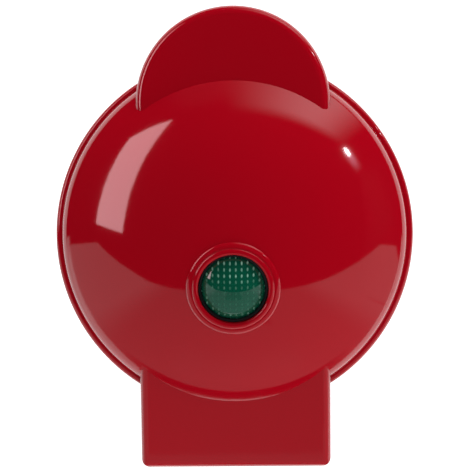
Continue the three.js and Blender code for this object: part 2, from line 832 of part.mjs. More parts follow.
// The three-pole block where the mains lead is joined to the internal wiring.
function terminalBlock() {
  const rear = blockReach - inlet.length - terminal.glandGap;
  const y = rear - terminal.depth / 2;
  const bottom = coverTop + seatGap;
  const top = bottom + terminal.height;
  const half = terminal.width / 2;
  const body = box(-half, half, rear - terminal.depth, rear, bottom, top);
  const pitch = terminal.width / terminal.poles;
  const notches = Array.from({ length: terminal.poles - 1 }, (_, i) => {
    const x = (i + 1) * pitch - half;
    const gap = (pitch - terminal.clampWidth) / 4;
    const floor = top - terminal.clampDepth;
    return box(x - gap, x + gap, y - terminal.depth, y + terminal.depth, floor, top + overrun);
  });
  const hole = cylinder(screw.shankRadius, bottom + terminal.height / 2, top + overrun, aroundScrew);
  const holes = Array.from({ length: terminal.poles }, (_, i) => moved(hole, (i + 0.5) * pitch - half, y));
  return body.subtract(joined(...notches, ...holes));
}

// The base's lower cover: a keyhole outline with vents, foot holes and screw holes.
function bottomCover() {
  const half = blockWidth / 2 - wall - seatGap;
  const rear = blockReach - wall - seatGap;
  const disc = cylinder(coverRadius, coverBottom, coverTop, around);
  const tail = box(-half, half, 0, rear, coverBottom, coverTop);
  const [low, high] = [coverBottom - overrun, coverTop + overrun];
  const vents = Array.from({ length: cover.vents }, (_, i) => {
    const x = (i - (cover.vents - 1) / 2) * cover.ventSpacing;
    const reach = cover.ventLength / 2;
    return box(x - cover.ventWidth / 2, x + cover.ventWidth / 2, -reach, reach, low, high);
  });
  const footHole = cylinder(foot.stemRadius + seatGap, low, high);
  const screwBore = cylinder(screwHole, low, high, aroundScrew);
  const footHoles = footPlaces().map(([x, y]) => moved(footHole, x, y));
  const screwBores = coverScrewPlaces().map(([x, y]) => moved(screwBore, x, y));
  return disc.add(tail).subtract(joined(...vents, ...footHoles, ...screwBores));
}

function coverScrewPlaces() {
  return [...frontPostPlaces(), ...rearPostPlaces()];
}

function footPlaces() {
  const [frontX, frontY] = [footCircle * Math.cos(foot.angle), footCircle * Math.sin(foot.angle)];
  const rearX = blockWidth / 2 - wall - foot.padRadius - overrun;
  const rearY = blockReach - wall - 2 * base.post - foot.padRadius - 2 * overrun;
  return [
    [-frontX, -frontY],
    [frontX, -frontY],
    [-rearX, rearY],
    [rearX, rearY],
  ];
}

// A rubber foot with a stem that snaps through the cover.
function rubberFoot() {
  const top = coverBottom - seatGap;
  const barbBottom = coverTop + seatGap;
  return turned(
    [
      at(0, 0),
      at(foot.padRadius - foot.padRound, 0),
      at(foot.padRadius, foot.padRound),
      at(foot.padRadius, top),
      at(foot.stemRadius, top),
      at(foot.stemRadius, barbBottom),
      at(foot.stemRadius + foot.barb, barbBottom),
      at(foot.stemRadius, barbBottom + foot.barbHeight),
      at(0, barbBottom + foot.barbHeight),
    ],
    aroundSmall,
  );
}

// A screw with its head's seat at the origin, pointing to +Z.
function pointedScrew(length) {
  return turned(
    [
      at(0, -screw.headHeight),
      at(screw.headRadius / 2, -screw.headHeight),
      at(screw.headRadius, -screw.headHeight / 2),
      at(screw.headRadius, 0),
      at(screw.shankRadius, 0),
      at(screw.shankRadius, length - screw.shankRadius),
      at(0, length),
    ],
    aroundScrew,
  );
}

// The pieces below are stacked behind a plate. Each is modelled with its cooking side up and the
// parting plane at z = 0, and is placed twice: as it is in the base, and turned over in the lid.

function plateBody() {
  const rimTop = -plate.rimGap;
  const floorRadius = dishRadius - plate.draft;
  const underside = -plateUndersideDepth;
  return turned([
    at(0, underside),
    at(dishOuterRadius - plate.draft, underside),
    at(dishOuterRadius, rimTop - plate.flange),
    at(plateRadius, rimTop - plate.flange),
    at(plateRadius, rimTop),
    at(dishRadius, rimTop),
    at(floorRadius, -dishFloorDepth),
    at(0, -dishFloorDepth),
  ]);
}

// The square studs that press the pockets into a waffle, cut to a circle inside the dish.
function plateStuds() {
  const sink = plate.floor / 2;
  const height = plate.studHeight + sink;
  const flare = (plate.studFoot - plate.studTop) * (sink / plate.studHeight);
  const stud = new THREE.CylinderGeometry(
    plate.studTop / Math.SQRT2,
    (plate.studFoot + flare) / Math.SQRT2,
    height,
    4,
  )
    .rotateY(Math.PI / 4)
    .rotateX(Math.PI / 2);
  const clipRadius = dishRadius - plate.draft - plate.studMargin;
  const count = Math.floor(clipRadius / plate.studPitch);
  const middle = height / 2 - sink - dishFloorDepth;
  const studs = [];
  for (let i = -count; i <= count; i += 1) {
    for (let j = -count; j <= count; j += 1) {
      const [x, y] = [i * plate.studPitch, j * plate.studPitch];
      if (Math.hypot(x, y) < clipRadius) studs.push(solidOf(stud.clone().translate(x, y, middle)));
    }
  }
  const clip = turned([
    at(0, -dishFloorDepth - sink - overrun),
    at(clipRadius, -dishFloorDepth - sink - overrun),
    at(clipRadius, -dishFloorDepth),
    at(clipRadius - plate.draft, 0),
    at(0, 0),
  ]);
  return joined(...studs).intersect(clip);
}

function bossPlaces() {
  return plate.bossAngles.map((angle) => [bossCircle * Math.cos(angle), bossCircle * Math.sin(angle)]);
}

function wafflePlate() {
  const bossEnd = -shieldFloorDepth + seatGap;
  const boreTop = -plateUndersideDepth + plate.floor / 2;
  const boss = cylinder(plate.bossRadius, bossEnd, boreTop, aroundScrew);
  const bore = cylinder(screwHole, bossEnd - overrun, boreTop, aroundScrew);
  const bosses = bossPlaces().map(([x, y]) => moved(boss, x, y));
  const bores = bossPlaces().map(([x, y]) => moved(bore, x, y));
  return plateBody().add(plateStuds()).add(joined(...bosses)).subtract(joined(...bores));
}

// A frame: flange at the parting plane, skirt behind it, and the ledge that the plate rests on.
function frameRing(snapAngles, tongued) {
  const face = -lip.gap;
  const ledgeBottom = -ledgeDepth - frame.ledge;
  const ledgeInner = dishOuterRadius + seatGap;
  const body = turnedRing([
    at(ledgeInner, ledgeBottom),
    at(skirtRadius, ledgeBottom),
    at(skirtRadius, face - frame.flange),
    at(rabbetRadius - seatGap, face - frame.flange),
    at(rabbetRadius - seatGap, face),
    at(plateSeatRadius, face),
    at(plateSeatRadius, -ledgeDepth),
    at(ledgeInner, -ledgeDepth),
  ]);
  const snaps = snapAngles.map((angle) => snapBlock(angle, 0, -snapBottom, -snapTop));
  const ringBody = joined(body, ...snaps);
  if (!tongued) return ringBody;

  // The lid's frame runs back under the hood, where two screws hold it.
  const half = blockWidth / 2 - wall - seatGap;
  const rear = hingeY - swingRadius - seatGap;
  const tongue = box(-half, half, plateRadius / 2, rear, face - frame.flange, face);
  const hole = cylinder(plateSeatRadius + frame.skirt / 2, -plateUndersideDepth, overrun, around);
  const padTop = face - frame.flange - frame.ledge;
  const pads = tongueScrewPlaces().map(([x, y]) => moved(cylinder(base.post, padTop, face), x, y));
  const headDepth = screw.headHeight + seatGap;
  const bores = tongueScrewPlaces().flatMap(([x, y]) => [
    moved(cylinder(screwHole, padTop - overrun, overrun, aroundScrew), x, y),
    moved(cylinder(screw.headRadius + seatGap, face - headDepth, overrun), x, y),
  ]);
  return ringBody.add(tongue.subtract(hole)).add(joined(...pads)).subtract(joined(...bores));
}

// An open ring of sheathed tube with a contact pin at each end, turned away from the plate.
class RingPath extends THREE.Curve {
  getPoint(t, target = new THREE.Vector3()) {
    const sweep = 2 * Math.PI - element.gapAngle;
    const angle = Math.PI / 2 + element.gapAngle / 2 + sweep * t;
    return target.set(elementRing * Math.cos(angle), elementRing * Math.sin(angle), -elementDepth);
  }
}

function heatingElement() {
  const section = new THREE.Shape().absarc(0, 0, element.tubeRadius, 0, 2 * Math.PI, false);
  const path = new RingPath();
  const tube = new THREE.ExtrudeGeometry(section, { steps: 20, curveSegments: 4, extrudePath: path });
  const pinEnd = -elementDepth - element.tubeRadius / 2 - element.pinLength;
  const pins = [0, 1].map((t) => {
    const end = path.getPoint(t);
    const pin = cylinder(element.pinRadius, pinEnd, -elementDepth, aroundScrew);
    const inward = element.pinRadius / elementRing;
    const angle = Math.atan2(end.y, end.x) + (t === 0 ? inward : -inward);
    return moved(pin, elementRing * Math.cos(angle), elementRing * Math.sin(angle));
  });
  return joined(solidOf(tube), ...pins);
}

// A sheet pan: its rim under the frame's ledge, its floor behind the element.
function heatShield(roomAt) {
  const { sheet, rimCover, floorMargin, pinHole } = shield;
  const wallOuter = dishOuterRadius + 2 * seatGap + sheet;
  const bendDepth = plateUndersideDepth + seatGap;
  const floorRadius = Math.min(
    elementRing + element.tubeRadius + floorMargin,
    roomAt(partingHeight + shieldBackDepth) - seatGap - floorMargin,
  );
  const pan = turned(
    [
      at(0, -shieldBackDepth),
      at(floorRadius, -shieldBackDepth),
      at(wallOuter - plate.draft, -bendDepth - sheet),
      at(wallOuter, -shieldRimDepth - sheet),
      at(plateRadius - rimCover, -shieldRimDepth - sheet),
      at(plateRadius - rimCover, -shieldRimDepth),
      at(wallOuter - sheet, -shieldRimDepth),
      at(wallOuter - plate.draft - sheet, -bendDepth),
      at(floorRadius - sheet, -shieldFloorDepth),
      at(0, -shieldFloorDepth),
    ],
    aroundPan,
  );
  const [low, high] = [-shieldBackDepth - overrun, -shieldFloorDepth + overrun];
  const path = new RingPath();
  const ends = [0, 1].map((t) => path.getPoint(t));
  const pinHoles = ends.map((end) => moved(cylinder(pinHole, low, high, aroundScrew), end.x, end.y));
  const screwBore = cylinder(screwHole, low, high, aroundScrew);
  const screwBores = bossPlaces().map(([x, y]) => moved(screwBore, x, y));
  return pan.subtract(joined(...pinHoles, ...screwBores));
}

// A stepped can with two bracket ears, held against the plate's underside.
function thermostatBody() {
  const top = -plateUndersideDepth - seatGap;
  const [earX, earY] = [thermostat.earLength / 2, thermostat.earWidth / 2];
  const ears = box(-earX, earX, -earY, earY, top - thermostat.ear, top);
  const shoulder = top - thermostat.height / 2;
  const bodyRadius = thermostat.radius * thermostat.bodyShare;
  const body = turned(
    [
      at(0, top - thermostat.height),
      at(bodyRadius, top - thermostat.height),
      at(bodyRadius, shoulder),
      at(thermostat.radius, shoulder),
      at(thermostat.radius, top),
      at(0, top),
    ],
    aroundSmall,
  );
  return body.add(ears);
}

// A small can with its two leads, lying against the lower plate.
function thermalFuse() {
  const depth = -plateUndersideDepth - seatGap - fuse.radius;
  const rod = (radius, length) => {
    const upright = new THREE.CylinderGeometry(radius, radius, length, aroundScrew);
    return solidOf(upright.rotateZ(Math.PI / 2));
  };
  return moved(rod(fuse.radius, fuse.length).add(rod(fuse.leadRadius, fuse.leadLength)), 0, 0, depth);
}

// A solid as a named mesh of its own material.
function piece(name, solid, look) {
  const made = solid.getMesh();
  const positions = new THREE.BufferAttribute(Float32Array.from(made.vertProperties), 3);
  const geometry = new THREE.BufferGeometry().setAttribute("position", positions);
  geometry.setIndex(new THREE.BufferAttribute(Uint32Array.from(made.triVerts), 1));
  const mesh = new THREE.Mesh(geometry, new THREE.MeshStandardMaterial(look));
  mesh.name = name;
  return mesh;
}

function plateStack(prefix, framePiece, roomAt, extra) {
  const group = new THREE.Group();
  group.add(
    framePiece,
    piece(`${prefix}_plate`, wafflePlate(), coatedCast),
    piece(`${prefix}_heating_element`, heatingElement(), steel),
    piece(`${prefix}_heat_shield`, heatShield(roomAt), sheetMetal),
    ...extra,
  );
  bossPlaces().forEach(([x, y], i) => {
    const made = piece(`${prefix}_plate_screw_${i + 1}`, pointedScrew(screw.length), steel);
    made.position.set(x, y, -shieldBackDepth - seatGap);
    group.add(made);
  });
  group.position.z = partingHeight;
  return group;
}

const lidGroup = new THREE.Group();
lidGroup.add(
  piece("lid_cover", lidCover(), redPlastic),
  piece("handle_underplate", handleInsert(), redPlastic),
  piece("indicator_lens", lens(), greenLens),
  piece("lens_retaining_ring", lensRetainer(), palePlastic),
  piece("indicator_board", indicatorBoard(), palePlastic),
  piece("indicator_lamp", indicatorLamp(), amberLamp),
  piece("hinge_pin_left", hingePin(-1), steel),
  piece("hinge_pin_right", hingePin(1), steel),
);
tongueScrewPlaces().forEach(([x, y], i) => {
  const made = piece(`lid_frame_screw_${i + 1}`, pointedScrew(screw.shortLength), steel);
  made.position.set(x, y, lidBottom + screw.headHeight);
  lidGroup.add(made);
});

const lidFrame = piece("lid_frame", frameRing(frame.snapAngles.slice(0, 2), true), redPlastic);
const upperStack = plateStack("upper", lidFrame, domeInnerRadius, [
  piece("thermostat", thermostatBody(), palePlastic),
]);
upperStack.rotation.y = Math.PI;
lidGroup.add(upperStack);

const baseGroup = new THREE.Group();
baseGroup.add(
  piece("base_shell", baseShell(), redPlastic),
  piece("bottom_cover", bottomCover(), redPlastic),
  piece("hinge_bush_left", hingeBush(-1), brass),
  piece("hinge_bush_right", hingeBush(1), brass),
  piece("cord_gland", cordGland(), blackRubber),
  piece("terminal_block", terminalBlock(), palePlastic),
);
footPlaces().forEach(([x, y], i) => {
  const made = piece(`foot_${i + 1}`, rubberFoot(), blackRubber);
  made.position.set(x, y, 0);
  baseGroup.add(made);
});
coverScrewPlaces().forEach(([x, y], i) => {
  const made = piece(`cover_screw_${i + 1}`, pointedScrew(screw.length), steel);
  made.position.set(x, y, coverBottom - seatGap);
  baseGroup.add(made);
});
const baseFrame = piece("base_frame", frameRing(frame.snapAngles, false), redPlastic);
const lowerStack = plateStack("lower", baseFrame, () => innerRadius, [
  piece("thermal_fuse", thermalFuse(), sheetMetal),
]);
baseGroup.add(lowerStack);

const waffleMaker = new THREE.Group();
waffleMaker.add(lidGroup, baseGroup);
waffleMaker.position.y = (handleCentre + handleRadius - blockReach) / 2;

export default waffleMaker;
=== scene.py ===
import json
import logging
import math
from dataclasses import dataclass
from enum import Enum
from typing import Any, Iterable, Sequence

import bmesh
import bpy
from mathutils import Matrix, Vector


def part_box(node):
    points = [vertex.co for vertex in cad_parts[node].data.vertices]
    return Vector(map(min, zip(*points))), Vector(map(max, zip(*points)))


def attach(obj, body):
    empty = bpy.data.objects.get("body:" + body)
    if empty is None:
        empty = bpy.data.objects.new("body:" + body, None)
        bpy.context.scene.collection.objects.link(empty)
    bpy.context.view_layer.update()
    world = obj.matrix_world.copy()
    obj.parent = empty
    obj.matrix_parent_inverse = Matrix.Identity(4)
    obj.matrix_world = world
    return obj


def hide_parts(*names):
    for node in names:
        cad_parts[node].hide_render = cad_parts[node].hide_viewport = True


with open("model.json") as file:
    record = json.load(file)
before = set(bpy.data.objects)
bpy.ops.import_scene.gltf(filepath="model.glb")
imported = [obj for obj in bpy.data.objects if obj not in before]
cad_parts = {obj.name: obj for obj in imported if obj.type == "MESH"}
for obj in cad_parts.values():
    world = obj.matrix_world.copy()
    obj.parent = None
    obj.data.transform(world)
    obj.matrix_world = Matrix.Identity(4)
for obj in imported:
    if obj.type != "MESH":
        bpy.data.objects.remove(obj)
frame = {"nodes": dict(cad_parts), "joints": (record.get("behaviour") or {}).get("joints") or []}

LOG = logging.getLogger("waffle_maker")
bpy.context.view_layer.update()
MM = 0.001
# In millimetres: a length that counts as none, how far a cut runs past a face, and past the whole part.
TINY, OVERRUN, BEYOND = 1e-6, 1.0, 60.0
WHITE = (1.0, 1.0, 1.0, 1.0)

Point = tuple[float, float]
Place = tuple[float, float, float]


class Cut(Enum):
    """The three ways in which two solids meet."""

    JOIN = "UNION"
    REMOVE = "DIFFERENCE"
    KEEP = "INTERSECT"


def linear(code: str) -> tuple[float, float, float, float]:
    """Turns an sRGB hex colour into linear light.

    Args:
        code: Six hex digits after a hash.

    Returns:
        Red, green, blue and an alpha of one.
    """
    shares = (int(code[i : i + 2], 16) / 255 for i in (1, 3, 5))
    return (*(s / 12.92 if s <= 0.04045 else ((s + 0.055) / 1.055) ** 2.4 for s in shares), 1.0)


def wire(tree: bpy.types.NodeTree, node: bpy.types.Node, inputs: dict[Any, Any]) -> None:
    """Sets a node's sockets.

    Args:
        tree: The node tree that holds the node.
        node: The node.
        inputs: Socket name or number to a value, an output socket, or a node for its first output.
    """
    for key, value in inputs.items():
        if isinstance(value, bpy.types.Node):
            value = value.outputs[0]
        if isinstance(value, bpy.types.NodeSocket):
            tree.links.new(value, node.inputs[key])
        else:
            node.inputs[key].default_value = value


def add_node(
    tree: bpy.types.NodeTree, kind: str, inputs: dict[Any, Any], **settings: Any
) -> bpy.types.Node:
    """Adds a shader node with its settings, values and links.

    Args:
        tree: The node tree that gets the node.
        kind: The node's type name after "ShaderNode".
        inputs: What its sockets hold, as for wire.
        settings: Attributes of the node.

    Returns:
        The new node.
    """
    node = tree.nodes.new("ShaderNode" + kind)
    for key, value in settings.items():
        setattr(node, key, value)
    wire(tree, node, inputs)
    return node


@dataclass(frozen=True)
class Finish:
    """One real finish: its colours, gloss and the two patterns of its surface, sized in millimetres."""

    slot: str
    name: str
    colour: str
    shade: str
    roughness: float
    polish: float
    metallic: float = 0.0
    ior: float = 1.5
    cloud: float = 20.0
    grain: float = 1.0
    relief: float = 0.01
    stretch: Place = (1.0, 1.0, 1.0)
    clearness: float = 0.0
    film: float = 0.0

    def build(self) -> bpy.types.Material:
        """Makes two clouded tones with a gloss that follows them, over a fine relief.

        Returns:
            The material.
        """
        material = bpy.data.materials.new(self.name)
        material.use_nodes = True
        tree = material.node_tree
        place = add_node(tree, "TexCoord", {}).outputs["Object"]
        run = add_node(tree, "Mapping", {"Vector": place, "Scale": self.stretch})
        cloud = add_node(tree, "TexNoise", {"Vector": run, "Scale": 1 / (self.cloud * MM), "Detail": 4.0})
        tones = {"Factor": cloud, 6: linear(self.colour), 7: linear(self.shade)}
        colour = add_node(tree, "Mix", tones, data_type="RGBA")
        clouded = {"Value": cloud, "From Min": 0.3, "From Max": 0.7}
        gloss = add_node(tree, "MapRange", {**clouded, "To Min": self.roughness, "To Max": self.polish})
        grain = add_node(tree, "TexNoise", {"Vector": run, "Scale": 1 / (self.grain * MM), "Detail": 2.0})
        bump = add_node(tree, "Bump", {"Height": grain, "Distance": self.relief * MM, "Strength": 1.0})
        shader = tree.nodes["Principled BSDF"]
        wire(tree, shader, {"Base Color": colour.outputs[2], "Roughness": gloss, "Normal": bump})
        uniform = {
            "Metallic": self.metallic, "Transmission Weight": self.clearness, "Coat Weight": self.film
        }
        wire(tree, shader, uniform if self.metallic else {**uniform, "IOR": self.ior})
        return material


class Look(Enum):
    """The finishes on the appliance; a real grain under 0.3 mm is drawn coarser, so that it shows."""

    # Injection-moulded ABS from a polished tool: deep gloss, with the faintest waviness.
    RED_SHELL = Finish(
        "red_plastic", "moulded_abs_gloss_red", "#9d0013", "#990011", 0.05, 0.08,
        ior=1.53, cloud=30.0, grain=6.0, relief=0.012,
    )
    # Injection-moulded polycarbonate, tinted through: clear green with a polished outer face; its base
    # colour also gets painted glints on the prisms.
    LENS = Finish(
        "green_lens", "moulded_polycarbonate_green", "#04523b", "#065a44", 0.02, 0.04,
        ior=1.58, cloud=12.0, grain=3.0, relief=0.002, clearness=0.3,
    )
    # Glass-filled nylon: pale, with a satin moulded face.
    PALE = Finish(
        "pale_plastic", "moulded_nylon_natural", "#e2ddcf", "#d8d2c2", 0.45, 0.55,
        ior=1.53, cloud=6.0, grain=0.5, relief=0.02,
    )
    # Soda-lime glass bulb of a neon lamp, drawn and fire-polished.
    LAMP = Finish(
        "lamp_glass", "drawn_soda_lime_glass", "#f3ece0", "#efe6d8", 0.02, 0.04,
        ior=1.52, cloud=5.0, grain=2.0, relief=0.002, clearness=0.9,
    )
    # Die-cast aluminium under a sprayed non-stick film: charcoal with a fine pebbled sheen.
    COATING = Finish(
        "coated_cast", "cast_aluminium_nonstick", "#242322", "#1d1c1c", 0.34, 0.46,
        ior=1.4, cloud=8.0, grain=0.35, relief=0.03, film=0.15,
    )
    # Aluminised steel sheet: pressed, with a drawn mill grain.
    SHEET = Finish(
        "sheet_metal", "pressed_aluminised_steel", "#c9ccce", "#b4b8bb", 0.28, 0.4,
        metallic=1.0, cloud=9.0, grain=0.6, relief=0.01, stretch=(1.0, 0.1, 1.0),
    )
    # Zinc-plated carbon steel: bright, lightly clouded.
    STEEL = Finish(
        "steel", "zinc_plated_steel", "#b7babd", "#a3a6aa", 0.22, 0.34,
        metallic=1.0, cloud=3.0, grain=0.4, relief=0.006,
    )
    # Drawn nickel-alloy tube that has been heated: grey with brown and olive tints.
    SHEATH = Finish(
        "steel", "drawn_heat_tinted_alloy", "#6d6a60", "#5a4a3e", 0.3, 0.45,
        metallic=1.0, cloud=14.0, grain=0.4, relief=0.008, stretch=(1.0, 1.0, 0.2),
    )
    # Turned brass bar: warm, with the lathe's fine rings.
    BRASS = Finish(
        "bush_brass", "turned_brass", "#c79a4c", "#b98a3d", 0.24, 0.34,
        metallic=1.0, cloud=3.0, grain=0.3, relief=0.008, stretch=(3.0, 1.0, 1.0),
    )
    # Compression-moulded rubber: black, matt and slightly dusty; it also colours the ring of painted shade
    # round the lens.
    RUBBER = Finish(
        "black_rubber", "moulded_rubber_black", "#0c0c0e", "#131316", 0.7, 0.85,
        ior=1.52, cloud=4.0, grain=0.5, relief=0.03,
    )


def arc(centre: Point, radius: float, start: float, end: float, steps: int) -> list[Point]:
    """Points along a round stretch of a profile.

    Args:
        centre: The arc's centre, as distance from the axis and height.
        radius: The arc's radius.
        start: The angle of its first point, in degrees from the outward direction.
        end: The angle of its last point.
        steps: How many segments it has.

    Returns:
        The points, both ends included.
    """
    turns = (math.radians(start + (end - start) * i / steps) for i in range(steps + 1))
    return [(centre[0] + radius * math.cos(t), centre[1] + radius * math.sin(t)) for t in turns]


def crest(left: float, right: float, top: float, radius: float, steps: int = 10) -> list[Point]:
    """The flat top of an outline with its two rounded corners, from right to left."""
    right_corner = arc((right - radius, top - radius), radius, 0.0, 90.0, steps)
    return right_corner + arc((left + radius, top - radius), radius, 90.0, 180.0, steps)


def shown(name: str, data: bpy.types.ID) -> bpy.types.Object:
    """Adds a mesh, lamp or camera to the scene.

    Args:
        name: The object's name.
        data: What the object holds.

    Returns:
        The new object.
    """
    made = bpy.data.objects.new(name, data)
    bpy.context.scene.collection.objects.link(made)
    return made


def as_mesh(shape: bmesh.types.BMesh, name: str = "shape") -> bpy.types.Mesh:
    """Turns a bmesh into a mesh and frees it.

    Args:
        shape: The bmesh, which is gone afterwards.
        name: The mesh's name.

    Returns:
        The mesh.
    """
    mesh = bpy.data.meshes.new(name)
    shape.to_mesh(mesh)
    shape.free()
    return mesh


def fresh(shape: bmesh.types.BMesh) -> bpy.types.Mesh:
    """Closes a bmesh's seams, turns its faces outwards and makes it a mesh.

    Args:
        shape: The finished bmesh, which is gone afterwards.

    Returns:
        The mesh.
    """
    bmesh.ops.remove_doubles(shape, verts=shape.verts, dist=1e-4)
    bmesh.ops.recalc_face_normals(shape, faces=shape.faces)
    return as_mesh(shape)


def round_edges(
    shape: bmesh.types.BMesh, edges: list[bmesh.types.BMEdge], radius: float, segments: int
) -> None:
    """Rounds edges of a bmesh."""
    rounding = {"segments": segments, "profile": 0.5, "affect": "EDGES", "material": -1}
    bmesh.ops.bevel(shape, geom=edges, offset=radius, **rounding)


class Solid:
    """A closed shape in the making, in millimetres about the round body's axis."""

    def __init__(self, mesh: bpy.types.Mesh) -> None:
        """Holds the shape's mesh."""
        self.mesh = mesh

    @classmethod
    def spun(cls, profile: Sequence[Point], steps: int = 160, ring: bool = False) -> "Solid":
        """Turns a profile about the upright axis.

        Args:
            profile: Points of radius and height.
            steps: How many facets go round.
            ring: Whether the profile closes on itself instead of on the axis.

        Returns:
            The turned solid.
        """
        if not ring:
            off_axis = [point for point in profile if point[0] > TINY]
            profile = [(0.0, profile[0][1]), *off_axis, (0.0, profile[-1][1])]
        shape = bmesh.new()
        verts = [shape.verts.new((r, 0.0, z)) for r, z in profile]
        pairs = list(zip(verts, verts[1:])) + [(verts[-1], verts[0])] * ring
        edges = [shape.edges.new(pair) for pair in pairs]
        bmesh.ops.spin(
            shape, geom=[*verts, *edges], cent=(0.0, 0.0, 0.0), axis=(0.0, 0.0, 1.0),
            angle=math.tau, steps=steps, use_merge=True,
        )
        return cls(fresh(shape))

    @classmethod
    def prism(cls, outline: Sequence[Point], low: float, high: float, edge: float = 0.0) -> "Solid":
        """Extrudes an outline upwards.

        Args:
            outline: The outline, seen from above.
            low: The height of its lower face.
            high: The height of its upper face.
            edge: The radius of both rims, if they are rounded.

        Returns:
            The prism.
        """
        shape = bmesh.new()
        face = shape.faces.new([shape.verts.new((x, y, low)) for x, y in outline])
        raised = bmesh.ops.extrude_face_region(shape, geom=[face])
        top = [v for v in raised["geom"] if isinstance(v, bmesh.types.BMVert)]
        bmesh.ops.translate(shape, vec=(0.0, 0.0, high - low), verts=top)
        if edge:
            level = [e for e in shape.edges if abs(e.verts[0].co.z - e.verts[1].co.z) < TINY]
            round_edges(shape, level, edge, 3)
        return cls(fresh(shape))

    @classmethod
    def box(cls, corner: Sequence[float], other: Sequence[float]) -> "Solid":
        """Makes a box between any two opposite corners.

        Args:
            corner: One corner.
            other: The corner across from it.

        Returns:
            The box.
        """
        size = [abs(b - a) for a, b in zip(corner, other)]
        middle = [(a + b) / 2 for a, b in zip(corner, other)]
        shape = bmesh.new()
        matrix = Matrix.Translation(middle) @ Matrix.Diagonal((*size, 1.0))
        bmesh.ops.create_cube(shape, size=1.0, matrix=matrix)
        return cls(fresh(shape))

    @classmethod
    def post(
        cls, radius: float, spot: Sequence[float], low: float, high: float, steps: int = 32,
        edge: float = 0.0,
    ) -> "Solid":
        """Makes an upright rod.

        Args:
            radius: The rod's radius.
            spot: Its place on the ground plan.
            low: The height of its lower end.
            high: The height of its upper end.
            steps: How many facets go round.
            edge: The radius of its rims, if they are rounded.

        Returns:
            The rod.
        """
        profile = [(radius, low), (radius, high)]
        if edge:
            inside = radius - edge
            lower = arc((inside, low + edge), edge, -90.0, 0.0, 4)
            profile = lower + arc((inside, high - edge), edge, 0.0, 90.0, 4)
        return cls.spun(profile, steps).moved(spot[0], spot[1])

    @classmethod
    def rod(cls, radius: float, start: Vector, end: Vector, steps: int = 48) -> "Solid":
        """Makes a round rod between two points.

        Args:
            radius: The rod's radius.
            start: The middle of its first end.
            end: The middle of its other end.
            steps: How many facets go round.

        Returns:
            The rod.
        """
        run = end - start
        turn = run.to_track_quat("Z", "Y").to_matrix().to_4x4()
        return cls.post(radius, (0.0, 0.0), 0.0, run.length, steps).placed(Matrix.Translation(start) @ turn)

    def moved(self, x: float, y: float, z: float = 0.0) -> "Solid":
        """Returns a copy that is moved."""
        return self.placed(Matrix.Translation((x, y, z)))

    def placed(self, matrix: Matrix) -> "Solid":
        """Copies the shape under a transform.

        Args:
            matrix: The transform.

        Returns:
            The copy.
        """
        mesh = self.mesh.copy()
        mesh.transform(matrix)
        return Solid(mesh)

    def with_all(self, others: Iterable["Solid"]) -> "Solid":
        """Gathers separate shapes in one mesh.

        Args:
            others: Shapes that don't touch this one or each other.

        Returns:
            The one shape.
        """
        shape = bmesh.new()
        for each in (self, *others):
            shape.from_mesh(each.mesh)
        return Solid(as_mesh(shape))

    def meets(self, others: Iterable["Solid"], how: Cut) -> "Solid":
        """Joins, cuts or trims this shape with others, one after another.

        Args:
            others: The other shapes.
            how: What becomes of each two.

        Returns:
            The new shape.
        """
        made = self
        for other in others:
            pair = [shown("cutting", solid.mesh) for solid in (made, other)]
            tool = pair[0].modifiers.new("cut", "BOOLEAN")
            tool.operation, tool.solver, tool.object = how.value, "MANIFOLD", pair[1]
            graph = bpy.context.evaluated_depsgraph_get()
            made = Solid(bpy.data.meshes.new_from_object(pair[0].evaluated_get(graph)))
            for each in pair:
                bpy.data.objects.remove(each)
        return made

    def join(self, *others: "Solid") -> "Solid":
        """Fuses other shapes onto this one."""
        return self.meets(others, Cut.JOIN)

    def cut(self, *others: "Solid") -> "Solid":
        """Takes other shapes out of this one."""
        return self.meets(others, Cut.REMOVE)

    def keep(self, *others: "Solid") -> "Solid":
        """Keeps what this shape shares with others."""
        return self.meets(others, Cut.KEEP)


